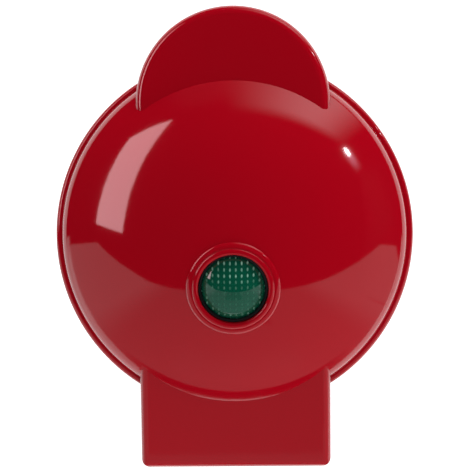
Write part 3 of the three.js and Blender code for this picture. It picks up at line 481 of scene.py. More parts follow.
@dataclass(frozen=True)
class Datum:
    """Planes, axes and common sizes that every sub-assembly is built on, in millimetres."""

    axis_y: float
    parting: float
    hinge_y: float
    hinge_z: float
    disc_radius: float = 63.5
    wall_radius: float = 61.1
    wall: float = 2.2
    gap: float = 0.3
    swing: float = 0.4
    lip_gap: float = 0.6
    lip_height: float = 2.5
    lip_round: float = 1.8
    lip_edge: float = 0.3
    rabbet: float = 1.5
    rabbet_depth: float = 1.6
    handle_radius: float = 34.3
    handle_centre: float = 45.9
    handle_foot: float = 0.4
    block_half: float = 33.6
    block_reach: float = 83.1
    block_corner: float = 3.3
    block_front: float = 10.0
    barrel_half: float = 21.3
    knuckle_radius: float = 6.0
    pin_bore: float = 2.3
    post_radius: float = 3.2
    screw_bore: float = 1.7

    @classmethod
    def read(cls) -> "Datum":
        """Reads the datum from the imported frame.

        Returns:
            The datum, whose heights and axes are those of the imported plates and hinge.
        """
        low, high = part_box("lower_plate")
        above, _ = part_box("upper_plate")
        pivot = frame["joints"][0]["pos_m"]
        axis_y = (low.y + high.y) / 2 / MM
        return cls(axis_y, (high.z + above.z) / 2 / MM, pivot[1] / MM - axis_y, pivot[2] / MM)

    def middle(self, node: str) -> Vector:
        """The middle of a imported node's box, in millimetres about the round body's axis."""
        low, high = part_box(node)
        return (low + high) / 2 / MM - Vector((0.0, self.axis_y, 0.0))

    def middles(self, kind: str, count: int) -> list[Vector]:
        """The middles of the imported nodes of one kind, which are numbered from one."""
        return [self.middle(f"{kind}_{i + 1}") for i in range(count)]

    @property
    def lid_bottom(self) -> float:
        """The height of the lid's lower edge."""
        return self.parting + self.lip_gap

    @property
    def base_top(self) -> float:
        """The height of the base's upper edge."""
        return self.parting - self.lip_gap

    @property
    def handle_spot(self) -> Point:
        """The middle of the handle's round, seen from above."""
        return (0.0, -self.handle_centre)

    def block_outline(self, front: float) -> list[Point]:
        """The hinge block from above, with its rear corners rounded."""
        half = self.block_half
        return [(-half, front), (half, front), *crest(-half, half, self.block_reach, self.block_corner)]

    def hinge_rod(self, radius: float, x0: float, x1: float) -> Solid:
        """A rod along the hinge's axis, between two distances from its middle."""
        start = Vector((min(x0, x1), self.hinge_y, self.hinge_z))
        return Solid.rod(radius, start, start + Vector((abs(x1 - x0), 0.0, 0.0)))

    def handle_disc(self, radius: float, low: float, high: float, edge: float) -> Solid:
        """The handle's round tab.

        Args:
            radius: The tab's radius.
            low: The height of its lower face.
            high: The height of its upper face.
            edge: The radius of its upper rim; the lower rim's is small.

        Returns:
            The tab.
        """
        foot = self.handle_foot
        lower = arc((radius - foot, low + foot), foot, -90, 0, 3)
        upper = arc((radius - edge, high - edge), edge, 0, 90, 8)
        return Solid.spun(lower + upper, 192).moved(*self.handle_spot)


class Workshop:
    """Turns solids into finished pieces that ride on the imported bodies."""

    def __init__(self, datum: Datum) -> None:
        """Builds every finish once."""
        self.datum = datum
        self.looks = {look: look.value.build() for look in Look}

    def piece(
        self, name: str, solid: Solid, body: str, node: str, look: Look, crease: float = 28.0
    ) -> bpy.types.Object:
        """Places a solid in the frame and dresses it.

        Args:
            name: The piece's name.
            solid: Its shape, in millimetres about the round body's axis.
            body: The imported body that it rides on.
            node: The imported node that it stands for.
            look: Its finish.
            crease: The angle in degrees above which an edge stays sharp.

        Returns:
            The piece's object.
        """
        mesh = solid.mesh.copy()
        mesh.name = name
        place = Matrix.Translation((0.0, self.datum.axis_y * MM, 0.0)) @ Matrix.Diagonal((MM, MM, MM, 1.0))
        mesh.transform(place)
        mesh.materials.clear()
        mesh.materials.append(self.looks[look])
        mesh.shade_smooth()
        mesh.set_sharp_from_angle(angle=math.radians(crease))
        made = shown(name, mesh)
        made.modifiers.new("weighted_normals", "WEIGHTED_NORMAL").keep_sharp = True
        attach(made, body)
        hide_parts(node)
        LOG.info("%s: %d faces for %s", name, len(mesh.polygons), node)
        return made

    def dress(self, look: Look, *nodes: str) -> None:
        """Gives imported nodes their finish.

        Args:
            look: The finish.
            nodes: The nodes' names.
        """
        for node in nodes:
            for slot in frame["nodes"][node].material_slots:
                slot.material = self.looks[look]
            LOG.info("%s: dressed in %s", node, look.value.name)


@dataclass
class LidShell:
    """The domed cover with its handle tab, sloping hinge hood and indicator collar."""

    datum: Datum
    dome_top: float = 72.0
    shoulder_radius: float = 7.0
    shoulder_height: float = 42.8
    lip_root: float = 0.4
    handle_top: float = 52.7
    handle_under: float = 41.4
    handle_edge: float = 3.2
    recess_edge: float = 0.8
    insert: float = 1.6
    insert_edge: float = 0.3
    block_top: float = 47.0
    block_edge: float = 2.7
    hood_slope: float = 10.0
    hood_front: float = 20.0
    post_foot: float = 42.3
    pocket_rear: float = 30.0
    pocket_low: float = 30.0
    pin_seat: float = 3.4
    pin_sunk: float = 2.3

    @property
    def shoulder_centre(self) -> float:
        """The distance of the shoulder's centre from the axis."""
        return self.datum.wall_radius - self.shoulder_radius

    @property
    def dome_radius(self) -> float:
        """The radius of the cap that meets the shoulder without a crease."""
        rise, reach, r = self.dome_top - self.shoulder_height, self.shoulder_centre, self.shoulder_radius
        return (reach**2 + rise**2 - r**2) / (2 * (rise - r))

    @property
    def sphere_height(self) -> float:
        """The height of the dome's centre."""
        return self.dome_top - self.dome_radius

    def crown(self, inset: float, low_steps: int, high_steps: int) -> list[Point]:
        """The profile of the shoulder and the dome over it.

        Args:
            inset: How far inside the outer surface it runs.
            low_steps: How many segments the shoulder has.
            high_steps: How many segments the dome has.

        Returns:
            The points, from the shoulder's foot to the axis.
        """
        tangent = math.degrees(math.atan2(self.shoulder_height - self.sphere_height, self.shoulder_centre))
        shoulder = (self.shoulder_centre, self.shoulder_height)
        sphere = (0.0, self.sphere_height)
        return [
            *arc(shoulder, self.shoulder_radius - inset, 0.0, tangent, low_steps),
            *arc(sphere, self.dome_radius - inset, tangent, 90.0, high_steps)[1:],
        ]

    def dome(self) -> Solid:
        """Turns the round body's outer surface.

        Returns:
            The dome, filled.
        """
        d, r, root, edge = self.datum, self.datum.lip_round, self.lip_root, self.datum.lip_edge
        top = d.lid_bottom + d.lip_height
        profile = [
            *arc((d.disc_radius - edge, d.lid_bottom + edge), edge, -90.0, 0.0, 3),
            *arc((d.disc_radius - r, top - r), r, 0.0, 90.0, 10),
            *arc((d.wall_radius + root, top + root), root, 270.0, 180.0, 4),
            *self.crown(0.0, 20, 44),
        ]
        return Solid.spun(profile, 224)

    def hollow(self) -> Solid:
        """Turns the space inside the dome.

        Returns:
            The space, with the rabbet at its mouth.
        """
        d = self.datum
        mouth, step = d.disc_radius - d.rabbet, d.lid_bottom + d.rabbet_depth
        profile = [
            (mouth, d.lid_bottom - OVERRUN), (mouth, step), (d.wall_radius - d.wall, step),
            *self.crown(d.wall, 8, 16),
        ]
        return Solid.spun(profile, 128)

    def under_roof(self, solid: Solid) -> Solid:
        """Carries a solid that hangs below zero to the hood's roof, which falls away from the dome."""
        ridge = Matrix.Translation((0.0, self.datum.wall_radius, self.block_top))
        return solid.placed(ridge @ Matrix.Rotation(-math.radians(self.hood_slope), 4, "X"))

    def hood(self) -> Solid:
        """Shapes the hinge hood's roof across, along and from above.

        Returns:
            The hood, filled, with rounded edges along its sides and across its rear.
        """
        d, r, slope, front = self.datum, self.block_edge, math.radians(self.hood_slope), self.hood_front
        half, deep = d.block_half, -self.block_top
        across = [(-half, deep), (half, deep), *crest(-half, half, 0.0, r)]
        lengthwise = Matrix(((1, 0, 0, 0), (0, 0, -1, 0), (0, 1, 0, 0), (0, 0, 0, 1)))
        roofed = self.under_roof(Solid.prism(across, -BEYOND, BEYOND).placed(lengthwise))
        round_y = d.block_reach - r
        round_z = self.block_top - (round_y - d.wall_radius) * math.tan(slope) - r / math.cos(slope)
        rear = arc((round_y, round_z), r, 0.0, 90.0 - self.hood_slope, 10)
        sky = 2 * self.block_top
        along = [(front, 0.0), (d.block_reach, 0.0), *rear, (rear[-1][0], sky), (front, sky)]
        sideways = Matrix(((0, 0, 1, 0), (1, 0, 0, 0), (0, 1, 0, 0), (0, 0, 0, 1)))
        plan = Solid.prism(d.block_outline(front), d.lid_bottom, self.dome_top)
        return roofed.keep(Solid.prism(along, -BEYOND, BEYOND).placed(sideways), plan)

    def pocket(self) -> Solid:
        """Shapes the hollow under the hood, in front of the knuckles and between them.

        Returns:
            The hollow, around the posts of the two frame screws.
        """
        d = self.datum
        inside, middle = d.block_half - d.wall, d.barrel_half + d.swing - d.wall
        stop = d.hinge_y - d.knuckle_radius - d.swing
        # The two boxes start and end at unlike heights, so that none of their faces coincide.
        front = Solid.box((-inside, self.hood_front, self.pocket_low), (inside, stop, self.dome_top))
        corner = (-middle, self.pocket_rear, self.pocket_low - OVERRUN)
        rear = Solid.box(corner, (middle, d.block_reach - d.wall, self.dome_top - OVERRUN))
        slab = Solid.box((-BEYOND, -BEYOND, -BEYOND), (BEYOND, BEYOND, -d.wall))
        spots = d.middles("lid_frame_screw", 2)
        posts = [Solid.post(d.post_radius, spot, self.post_foot, self.dome_top) for spot in spots]
        return front.join(rear).keep(self.under_roof(slab)).cut(*posts)

    def knuckle(self, side: int) -> Solid:
        """Shapes a knuckle, round under the pin and square above it.

        Args:
            side: One for the right knuckle, minus one for the left.

        Returns:
            The knuckle, without its bore.
        """
        d = self.datum
        x0, x1 = side * (d.barrel_half + d.swing), side * d.block_half
        above = d.lid_bottom + OVERRUN
        upright = Solid.box((x0, d.hinge_y - d.knuckle_radius, d.hinge_z), (x1, d.block_reach, above))
        plan = Solid.prism(d.block_outline(d.block_front), self.hood_front, above + OVERRUN)
        return d.hinge_rod(d.knuckle_radius, x0, x1).join(upright).keep(plan)

    def build(self, shop: Workshop, indicator: "Indicator") -> None:
        """Makes the cover and the plate that closes its handle.

        Args:
            shop: What places and dresses the pieces.
            indicator: The indicator that the cover holds.
        """
        d, spot, low = self.datum, self.datum.handle_spot, self.handle_under
        dome, inside = self.dome(), d.handle_radius - d.wall
        handle = d.handle_disc(d.handle_radius, low, self.handle_top, self.handle_edge)
        recess = Solid.post(inside, spot, low - OVERRUN, self.handle_top - d.wall, 128, self.recess_edge)
        reach = d.barrel_half + d.swing
        shell = dome.join(self.hood(), handle).cut(recess.cut(dome), self.pocket().cut(dome))
        shell = shell.join(self.knuckle(-1), self.knuckle(1))
        shell = shell.cut(d.hinge_rod(d.knuckle_radius + d.swing, -reach, reach)).join(indicator.collar())
        shell = shell.cut(self.hollow().cut(indicator.sleeve()), indicator.hole())
        for side in (-1, 1):
            outside = side * (d.block_half + OVERRUN)
            bore = d.hinge_rod(d.pin_bore, side * d.barrel_half, outside)
            seat = d.hinge_rod(self.pin_seat, side * (d.block_half - self.pin_sunk), outside)
            shell = shell.cut(bore, seat)
        shop.piece("lid_cover_shell", shell, "lid", "lid_cover", Look.RED_SHELL)

        insert = Solid.post(inside - d.gap, spot, low, low + self.insert, 128, self.insert_edge)
        body = Solid.post(d.wall_radius + d.gap, (0.0, 0.0), 0.0, BEYOND, 160)
        shop.piece("handle_closing_plate", insert.cut(body), "lid", "handle_underplate", Look.RED_SHELL)


@dataclass
class Indicator:
    """The round lens in the dome, its stepped collar and what lies behind it; heights are from the dome."""

    datum: Datum
    lid: LidShell
    distance: float = 19.6
    rise: float = 1.7
    hole_radius: float = 12.2
    hole_edge: float = 0.9
    seat: float = -1.3
    collar_radius: float = 16.4
    collar_low: float = -2.2
    skirt: float = 0.3
    bead: float = 2.0
    bead_drop: float = 2.6
    ring: float = 1.2
    ring_inset: float = 3.1
    sleeve_wall: float = 1.9
    sleeve_low: float = -4.6
    lens_radius: float = 11.15
    lens_wall: float = 1.4
    flange_radius: float = 13.0
    flange_low: float = -2.6
    flange_high: float = -1.6
    crown: float = 3.6
    crown_edge: float = -0.74
    prism: float = 2.03
    prism_rise: float = 0.36
    prism_margin: float = 0.4
    # The clearance of the black ring of painted shade in the lens's gap.
    shade_ring_gap: float = 0.05

    @property
    def tilt(self) -> float:
        """How far the indicator leans with the dome, in radians."""
        return math.asin(self.distance / self.lid.dome_radius)

    @property
    def spot(self) -> Vector:
        """The middle of the circle in which the collar meets the dome."""
        lean, reach = self.tilt, math.sqrt(self.lid.dome_radius**2 - self.collar_radius**2)
        return Vector((0.0, reach * math.sin(lean), self.lid.sphere_height + reach * math.cos(lean)))

    def place(self, solid: Solid) -> Solid:
        """Moves a solid from the indicator's own frame to its place in the dome."""
        return solid.placed(Matrix.Translation(self.spot) @ Matrix.Rotation(-self.tilt, 4, "X"))

    def collar(self) -> Solid:
        """Turns two rounded steps round the lens, over the sleeve that holds it.

        Returns:
            The collar, filled.
        """
        outer, skirt = self.flange_radius + self.sleeve_wall, self.collar_radius + self.skirt
        bead, ring = self.bead, self.ring
        profile = [
            (outer, self.sleeve_low), (outer, self.collar_low), (skirt, self.collar_low),
            *arc((skirt - bead, self.rise - self.bead_drop), bead, 0.0, 103.0, 14),
            *arc((self.collar_radius - self.ring_inset, self.rise - ring), ring, 18.0, 90.0, 10),
        ]
        return self.place(Solid.spun(profile, 144))

    def sleeve(self) -> Solid:
        """What the collar keeps clear inside the dome."""
        radius = self.flange_radius + self.sleeve_wall
        return self.place(Solid.spun([(radius, self.sleeve_low), (radius, 2.0)], 96))

    def hole(self) -> Solid:
        """Turns the stepped opening, with a rounded upper edge.

        Returns:
            The opening as a solid.
        """
        r, edge, top = self.hole_radius, self.hole_edge, self.rise
        seat = self.flange_radius + self.datum.gap
        profile = [
            (seat, self.sleeve_low - 1.4), (seat, self.seat), (r, self.seat),
            *arc((r + edge, top - edge), edge, 180.0, 90.0, 6), (r + edge, top + OVERRUN),
        ]
        return self.place(Solid.spun(profile, 144))

    def lens(self) -> Solid:
        """Turns a shallow cap with a smooth outer face, and cuts rows of prisms behind it.

        Returns:
            The lens in its own frame.
        """
        rise = self.crown - self.crown_edge
        radius = (self.lens_radius**2 + rise**2) / (2 * rise)
        spread = math.degrees(math.asin(self.lens_radius / radius))
        inside, face = self.lens_radius - self.lens_wall, self.crown_edge - self.lens_wall
        profile = [
            (inside, face), (inside, self.flange_low), (self.flange_radius, self.flange_low),
            (self.flange_radius, self.flange_high), (self.lens_radius, self.flange_high),
            (self.lens_radius, self.crown_edge - 0.3),
            *arc((0.0, self.crown - radius), radius, 90.0 - spread + 1.2, 90.0, 12),
        ]
        return Solid.spun(profile, 128).cut(self.prisms(inside, face))

    def prisms(self, radius: float, face: float) -> Solid:
        """Shapes the pyramids that the lens tool leaves in the inner face.

        Args:
            radius: The radius of the face.
            face: Its height.

        Returns:
            The pyramids, which point upwards from a common foot.
        """
        count = int(2 * radius / self.prism) + 1
        shape = bmesh.new()
        bmesh.ops.create_grid(shape, x_segments=count, y_segments=count, size=count * self.prism / 2)
        bmesh.ops.poke(shape, faces=shape.faces[:], offset=self.prism * self.prism_rise)
        raised = bmesh.ops.extrude_face_region(shape, geom=shape.faces[:])
        for vert in (v for v in raised["geom"] if isinstance(v, bmesh.types.BMVert)):
            vert.co.z = -OVERRUN
        bmesh.ops.translate(shape, vec=(0.0, 0.0, face), verts=shape.verts)
        inside = radius - self.prism_margin
        return Solid(fresh(shape)).keep(Solid.spun([(inside, -4.0), (inside, 4.0)], 96))

    def shade_ring(self) -> Solid:
        """Turns a black ring in the gap between the lens and its hole, which paints the gap's shade.

        Returns:
            The ring in the indicator's own frame.
        """
        gap, low = self.shade_ring_gap, self.flange_high + self.shade_ring_gap
        inner, outer = self.lens_radius + gap, self.hole_radius - gap
        foot = [(inner, low), (outer, low)]
        return Solid.spun([*foot, *crest(inner, outer, 0.0, 0.3, 4)], 144, ring=True)

    def paint_prism_glints(self, material: bpy.types.Material) -> None:
        """Paints the lamps' glints onto the lens's prisms, row by row, as a painted highlight in its base
        colour.

        Args:
            material: The lens's finish, which gets the painted glints over its own colour.
        """
        tree = material.node_tree
        shader = tree.nodes["Principled BSDF"]
        plain = shader.inputs["Base Color"].links[0].from_socket
        place = {
            "Vector": add_node(tree, "TexCoord", {}).outputs["Object"],
            "Location": (self.spot + Vector((0.0, self.datum.axis_y, 0.0))) * MM,
            "Rotation": (-self.tilt, 0.0, 0.0),
            "Scale": [self.prism * MM] * 3,
        }
        local = add_node(tree, "Mapping", place, vector_type="TEXTURE")
        # Each painted glint is an upright oval in the middle of its prism.
        cell = add_node(tree, "VectorMath", {0: local}, operation="FRACTION")
        oval = {0: cell, 1: (2.6, 1.4, 0.0), 2: (-1.3, -0.7, 0.0)}
        offset = add_node(tree, "VectorMath", oval, operation="MULTIPLY_ADD")
        away = add_node(tree, "VectorMath", {0: offset}, operation="LENGTH").outputs["Value"]
        fall = {0: away, "From Min": 0.15, "From Max": 0.55, "To Min": 1.0, "To Max": 0.0}
        point = add_node(tree, "MapRange", fall, interpolation_type="SMOOTHSTEP")
        # The painted glints grow fainter towards the hinge, and the rim's are half lit.
        row = add_node(tree, "SeparateXYZ", {0: local}).outputs["Y"]
        fade = {0: row, "From Min": -4.3, "From Max": 0.4, "To Min": 1.0, "To Max": 0.05}
        rows = add_node(tree, "MapRange", fade)
        flat = add_node(tree, "VectorMath", {0: local, 1: (1.0, 1.0, 0.0)}, operation="MULTIPLY")
        radius = add_node(tree, "VectorMath", {0: flat}, operation="LENGTH").outputs["Value"]
        rim = {0: radius, "From Min": 4.3, "From Max": 4.8, "To Min": 0.0, "To Max": 0.5}
        edge = add_node(tree, "MapRange", rim)
        weight = add_node(tree, "Math", {0: rows, 1: edge}, operation="MAXIMUM")
        # A white noise per prism varies the strength of the painted glints.
        number = add_node(tree, "VectorMath", {0: local}, operation="FLOOR")
        chance = add_node(tree, "TexWhiteNoise", {"Vector": number})
        glint_spread = add_node(tree, "MapRange", {0: chance, "To Min": 0.35, "To Max": 1.0})
        lit = add_node(tree, "Math", {0: point, 1: weight}, operation="MULTIPLY")
        share = add_node(tree, "Math", {0: lit, 1: glint_spread}, operation="MULTIPLY")
        # The painted glints are mixed into the base colour as a pale mint.
        colour = add_node(tree, "Mix", {"Factor": share, 6: plain, 7: linear("#b8f0d8")}, data_type="RGBA")
        wire(tree, shader, {"Base Color": colour.outputs[2]})

    def build(self, shop: Workshop) -> None:
        """Makes the lens with its black ring of painted shade and dresses the pieces behind it.

        Args:
            shop: What places and dresses the pieces.
        """
        self.paint_prism_glints(shop.looks[Look.LENS])
        shop.piece("indicator_lens_moulding", self.place(self.lens()), "lid", "indicator_lens", Look.LENS)
        # The black ring is painted shade for the dark gap round the lens.
        shop.piece("indicator_lens_shade_ring", self.place(self.shade_ring()), "lid", "indicator_lens", Look.RUBBER)
        shop.dress(Look.PALE, "lens_retaining_ring", "indicator_board")
        shop.dress(Look.LAMP, "indicator_lamp")


@dataclass
class BaseShell:
    """The bowl with its lower tab, its hinge block and the barrel between the knuckles."""

    datum: Datum
    foot_height: float = 4.0
    floor_radius: float = 50.0
    lip_inset: float = 0.3
    straight: float = 1.5
    tab_drop: float = 7.5
    tab_height: float = 9.5
    tab_inset: float = 0.8
    tab_edge: float = 3.2
    rib_half: float = 0.8
    rib_spacing: float = 14.0
    shelf: float = 26.15
    fillet: float = 3.4
    post_low: float = 6.5
    post_high: float = 15.5
    inlet: float = 4.9
    inlet_boss: float = 5.2
    inlet_face: float = 6.5
    inlet_sunk: float = 1.7
    inlet_run: float = 9.0
    box_front: float = 20.0
    box_rear: float = 30.0
    bush_radius: float = 3.9
    bush_start: float = 11.8
    bush_end: float = 30.0

    @property
    def bowl_top(self) -> float:
        """Where the bowl's curve ends and its upright wall begins."""
        return self.datum.base_top - self.datum.lip_height - self.straight

    def curve(self, floor: float, wall: float, bottom: float, steps: int) -> list[Point]:
        """A quarter ellipse from the bowl's floor to its wall.

        Args:
            floor: The radius of the flat floor.
            wall: The radius of the upright wall.
            bottom: The floor's height.
            steps: How many segments it has.

        Returns:
            The points, both ends included.
        """
        turns = (math.pi / 2 * i / steps for i in range(steps + 1))
        drop = self.bowl_top - bottom
        return [(floor + (wall - floor) * math.sin(t), self.bowl_top - drop * math.cos(t)) for t in turns]

    def bowl(self) -> Solid:
        """Turns the bowl's outer surface.

        Returns:
            The bowl, filled.
        """
        d, r, edge = self.datum, self.datum.lip_round, self.datum.lip_edge
        lip_radius, lip_bottom = d.disc_radius - self.lip_inset, d.base_top - d.lip_height
        profile = [
            *self.curve(self.floor_radius, d.wall_radius, self.foot_height, 24),
            (d.wall_radius, lip_bottom),
            *arc((lip_radius - r, lip_bottom + r), r, -90.0, 0.0, 10),
            *arc((lip_radius - edge, d.base_top - edge), edge, 0.0, 90.0, 3),
        ]
        return Solid.spun(profile, 224)

    def hollow(self) -> Solid:
        """Turns the space inside the bowl.

        Returns:
            The space, with the rabbet at its mouth.
        """
        d = self.datum
        opening, inner, mouth = self.floor_radius - d.wall, d.wall_radius - d.wall, d.disc_radius - d.rabbet
        step = d.base_top - d.rabbet_depth
        profile = [
            (opening, self.foot_height - OVERRUN),
            *self.curve(opening, inner, self.foot_height + d.wall, 12),
            (inner, step), (mouth, step), (mouth, d.base_top + OVERRUN),
        ]
        return Solid.spun(profile, 160)

    def notch(self) -> Solid:
        """Shapes what the lid's knuckles and hood sweep through.

        Returns:
            The space that the block leaves for them.
        """
        d = self.datum
        swing = d.knuckle_radius + d.swing
        outer, behind, above = d.block_half + OVERRUN, d.block_reach + OVERRUN, d.base_top + OVERRUN
        made = Solid.box((-outer, d.hinge_y, self.shelf), (outer, behind, above))
        for x0, x1 in ((-outer, -d.barrel_half), (d.barrel_half, outer)):
            corner = Solid.box((x0, d.hinge_y - swing, d.hinge_z), (x1, behind, above))
            made = made.join(d.hinge_rod(swing, x0, x1), corner)
        return made

    def tab(self) -> Solid:
        """Shapes the lower handle tab.

        Returns:
            The tab, hollow underneath with ribs.
        """
        d = self.datum
        top, radius = d.parting - self.tab_drop, d.handle_radius - self.tab_inset
        low = top - self.tab_height
        pocket = Solid.post(radius - d.wall, d.handle_spot, low - OVERRUN, top - d.wall, 128)
        middles = (-self.rib_spacing, 0.0, self.rib_spacing)
        ribs = [Solid.box((x - self.rib_half, -90.0, low), (x + self.rib_half, 0.0, top)) for x in middles]
        return d.handle_disc(radius, low, top, self.tab_edge).cut(pocket.cut(*ribs))

    def gusset(self, side: int) -> Solid:
        """Shapes the gusset where the block's side meets the round wall.

        Args:
            side: One for the right side, minus one for the left.

        Returns:
            The gusset.
        """
        d = self.datum
        meet = math.sqrt(d.wall_radius**2 - d.block_half**2)
        front, rear = meet - self.fillet, meet + self.fillet
        inner, outer = side * (d.block_half - d.wall), side * (d.block_half + self.fillet / 2)
        outline = [(inner, front), (outer, front), (side * d.block_half, rear), (inner, rear)]
        return Solid.prism(outline, self.shelf, d.base_top - d.lip_height)

    def posts(self, bowl: Solid) -> Solid:
        """Shapes the posts that take the cover's screws.

        Args:
            bowl: The filled bowl, to which the front pair's webs are trimmed.

        Returns:
            The bored posts with their webs.
        """
        d, low, high = self.datum, self.post_low, self.post_high
        spots = d.middles("cover_screw", 4)
        posts = [Solid.post(d.post_radius, spot, low, high) for spot in spots]
        webs = []
        for spot in spots[:2]:
            web = Solid.box((spot.xy.length, -self.rib_half, low), (d.disc_radius, self.rib_half, high))
            turn = Matrix.Rotation(math.atan2(spot.y, spot.x), 4, "Z")
            webs.append(web.placed(turn).keep(bowl))
        bores = [Solid.post(d.screw_bore, spot, low - OVERRUN, high - d.gap) for spot in spots]
        return posts[0].join(webs[0], posts[1], webs[1], *posts[2:]).cut(*bores)

    def inlet_bores(self, face: Vector, inward: Vector) -> list[Solid]:
        """Makes the hole for the cord's bush and the shallow seat for its flange.

        Args:
            face: The middle of the inlet on the block's rear face.
            inward: The direction into the block.

        Returns:
            The hole and the seat, as rods to cut out.
        """
        run = self.inlet_run * inward
        ends = {self.inlet: face + run, self.inlet_face: face + self.inlet_sunk * inward}
        return [Solid.rod(radius, end, face - run, 64) for radius, end in ends.items()]

    def build(self, shop: Workshop) -> None:
        """Makes the shell.

        Args:
            shop: What places and dresses the piece.
        """
        d, low, swing = self.datum, self.foot_height - OVERRUN, self.datum.knuckle_radius + self.datum.swing
        bowl, inside = self.bowl(), d.block_half - d.wall
        block = Solid.prism(d.block_outline(d.block_front), self.foot_height, d.base_top).cut(self.notch())
        barrel = d.hinge_rod(d.knuckle_radius, -d.barrel_half, d.barrel_half)
        ceiling = d.base_top - d.rabbet_depth - d.wall
        front = Solid.box((-inside, self.box_front, low), (inside, d.hinge_y - swing - d.wall, ceiling))
        corner = (inside, d.block_reach - d.wall, self.shelf - d.wall)
        rear = Solid.box((-inside, self.box_rear, low), corner)
        shell = bowl.join(self.tab(), block, barrel, self.gusset(-1), self.gusset(1))
        face = Vector((0.0, d.block_reach, (self.foot_height + self.shelf) / 2))
        inward = Vector((0.0, -1.0, 0.0))
        boss = Solid.rod(self.inlet + d.wall, face + self.inlet_boss * inward, face + 0.1 * inward)
        shell = shell.cut(self.hollow(), front.join(rear)).join(boss, self.posts(bowl))
        shell = shell.cut(*self.inlet_bores(face, inward))
        for side in (-1, 1):
            shell = shell.cut(d.hinge_rod(self.bush_radius, side * self.bush_start, side * self.bush_end))
        shop.piece("base_bowl_shell", shell, "base", "base_shell", Look.RED_SHELL)


@dataclass
class PlateFrame:
    """The ring that carries a plate and closes its shell; heights are from the parting plane."""

    datum: Datum
    upper: bool
    ledge_inner: float = 54.5
    plate_seat: float = 57.0
    skirt_radius: float = 58.6
    flange_radius: float = 61.7
    ledge_low: float = -5.25
    ledge_high: float = -3.45
    flange_low: float = -1.9
    face: float = -0.6
    edge: float = 0.35
    tongue_half: float = 31.1
    tongue_front: float = 28.3
    tongue_rear: float = 70.4
    tongue_inner: float = 57.8
    tongue_corner: float = 2.0
    pad_low: float = -3.7
    head_bore: float = 3.0
    head_depth: float = 1.8
    drill_low: float = -5.0
    disc_low: float = -9.0

    def ring(self) -> Solid:
        """Turns the flange, the skirt and the ledge under the plate.

        Returns:
            The ring.
        """
        e = self.edge
        profile = [
            (self.ledge_inner, self.ledge_low), (self.skirt_radius, self.ledge_low),
            (self.skirt_radius, self.flange_low), (self.flange_radius, self.flange_low),
            *crest(self.plate_seat, self.flange_radius, self.face, e, 4),
            (self.plate_seat, self.ledge_high),
            *arc((self.ledge_inner + e, self.ledge_high - e), e, 90.0, 180.0, 4),
        ]
        return Solid.spun(profile, 192, ring=True)

    def tongue(self) -> Solid:
        """Shapes the flat tongue that runs back under the hood.

        Returns:
            The tongue, with a counterbored pad for each of its two screws.
        """
        d, half, low, face = self.datum, self.tongue_half, self.flange_low, self.face
        ends = [(-half, self.tongue_front), (half, self.tongue_front)]
        outline = [*ends, *crest(-half, half, self.tongue_rear, self.tongue_corner, 6)]
        disc = Solid.post(self.tongue_inner, (0.0, 0.0), self.disc_low, OVERRUN, 160)
        made = Solid.prism(outline, low, face).cut(disc)
        spots = d.middles("lid_frame_screw", 2)
        made = made.join(*(Solid.post(d.post_radius, spot, self.pad_low, face) for spot in spots))
        for spot in spots:
            bore = Solid.post(d.screw_bore, spot, self.drill_low, OVERRUN)
            made = made.cut(bore, Solid.post(self.head_bore, spot, face - self.head_depth, OVERRUN))
        return made

    def build(self, shop: Workshop) -> None:
        """Makes the ring, turned over and with its tongue if it is the lid's.

        Args:
            shop: What places and dresses the piece.
        """
        made, turned = self.ring(), Matrix.Translation((0.0, 0.0, self.datum.parting))
        if self.upper:
            made = made.join(self.tongue())
            turned = turned @ Matrix.Rotation(math.pi, 4, "Y")
        body = "lid" if self.upper else "base"
        shop.piece(f"{body}_plate_ring", made.placed(turned), body, f"{body}_frame", Look.RED_SHELL)


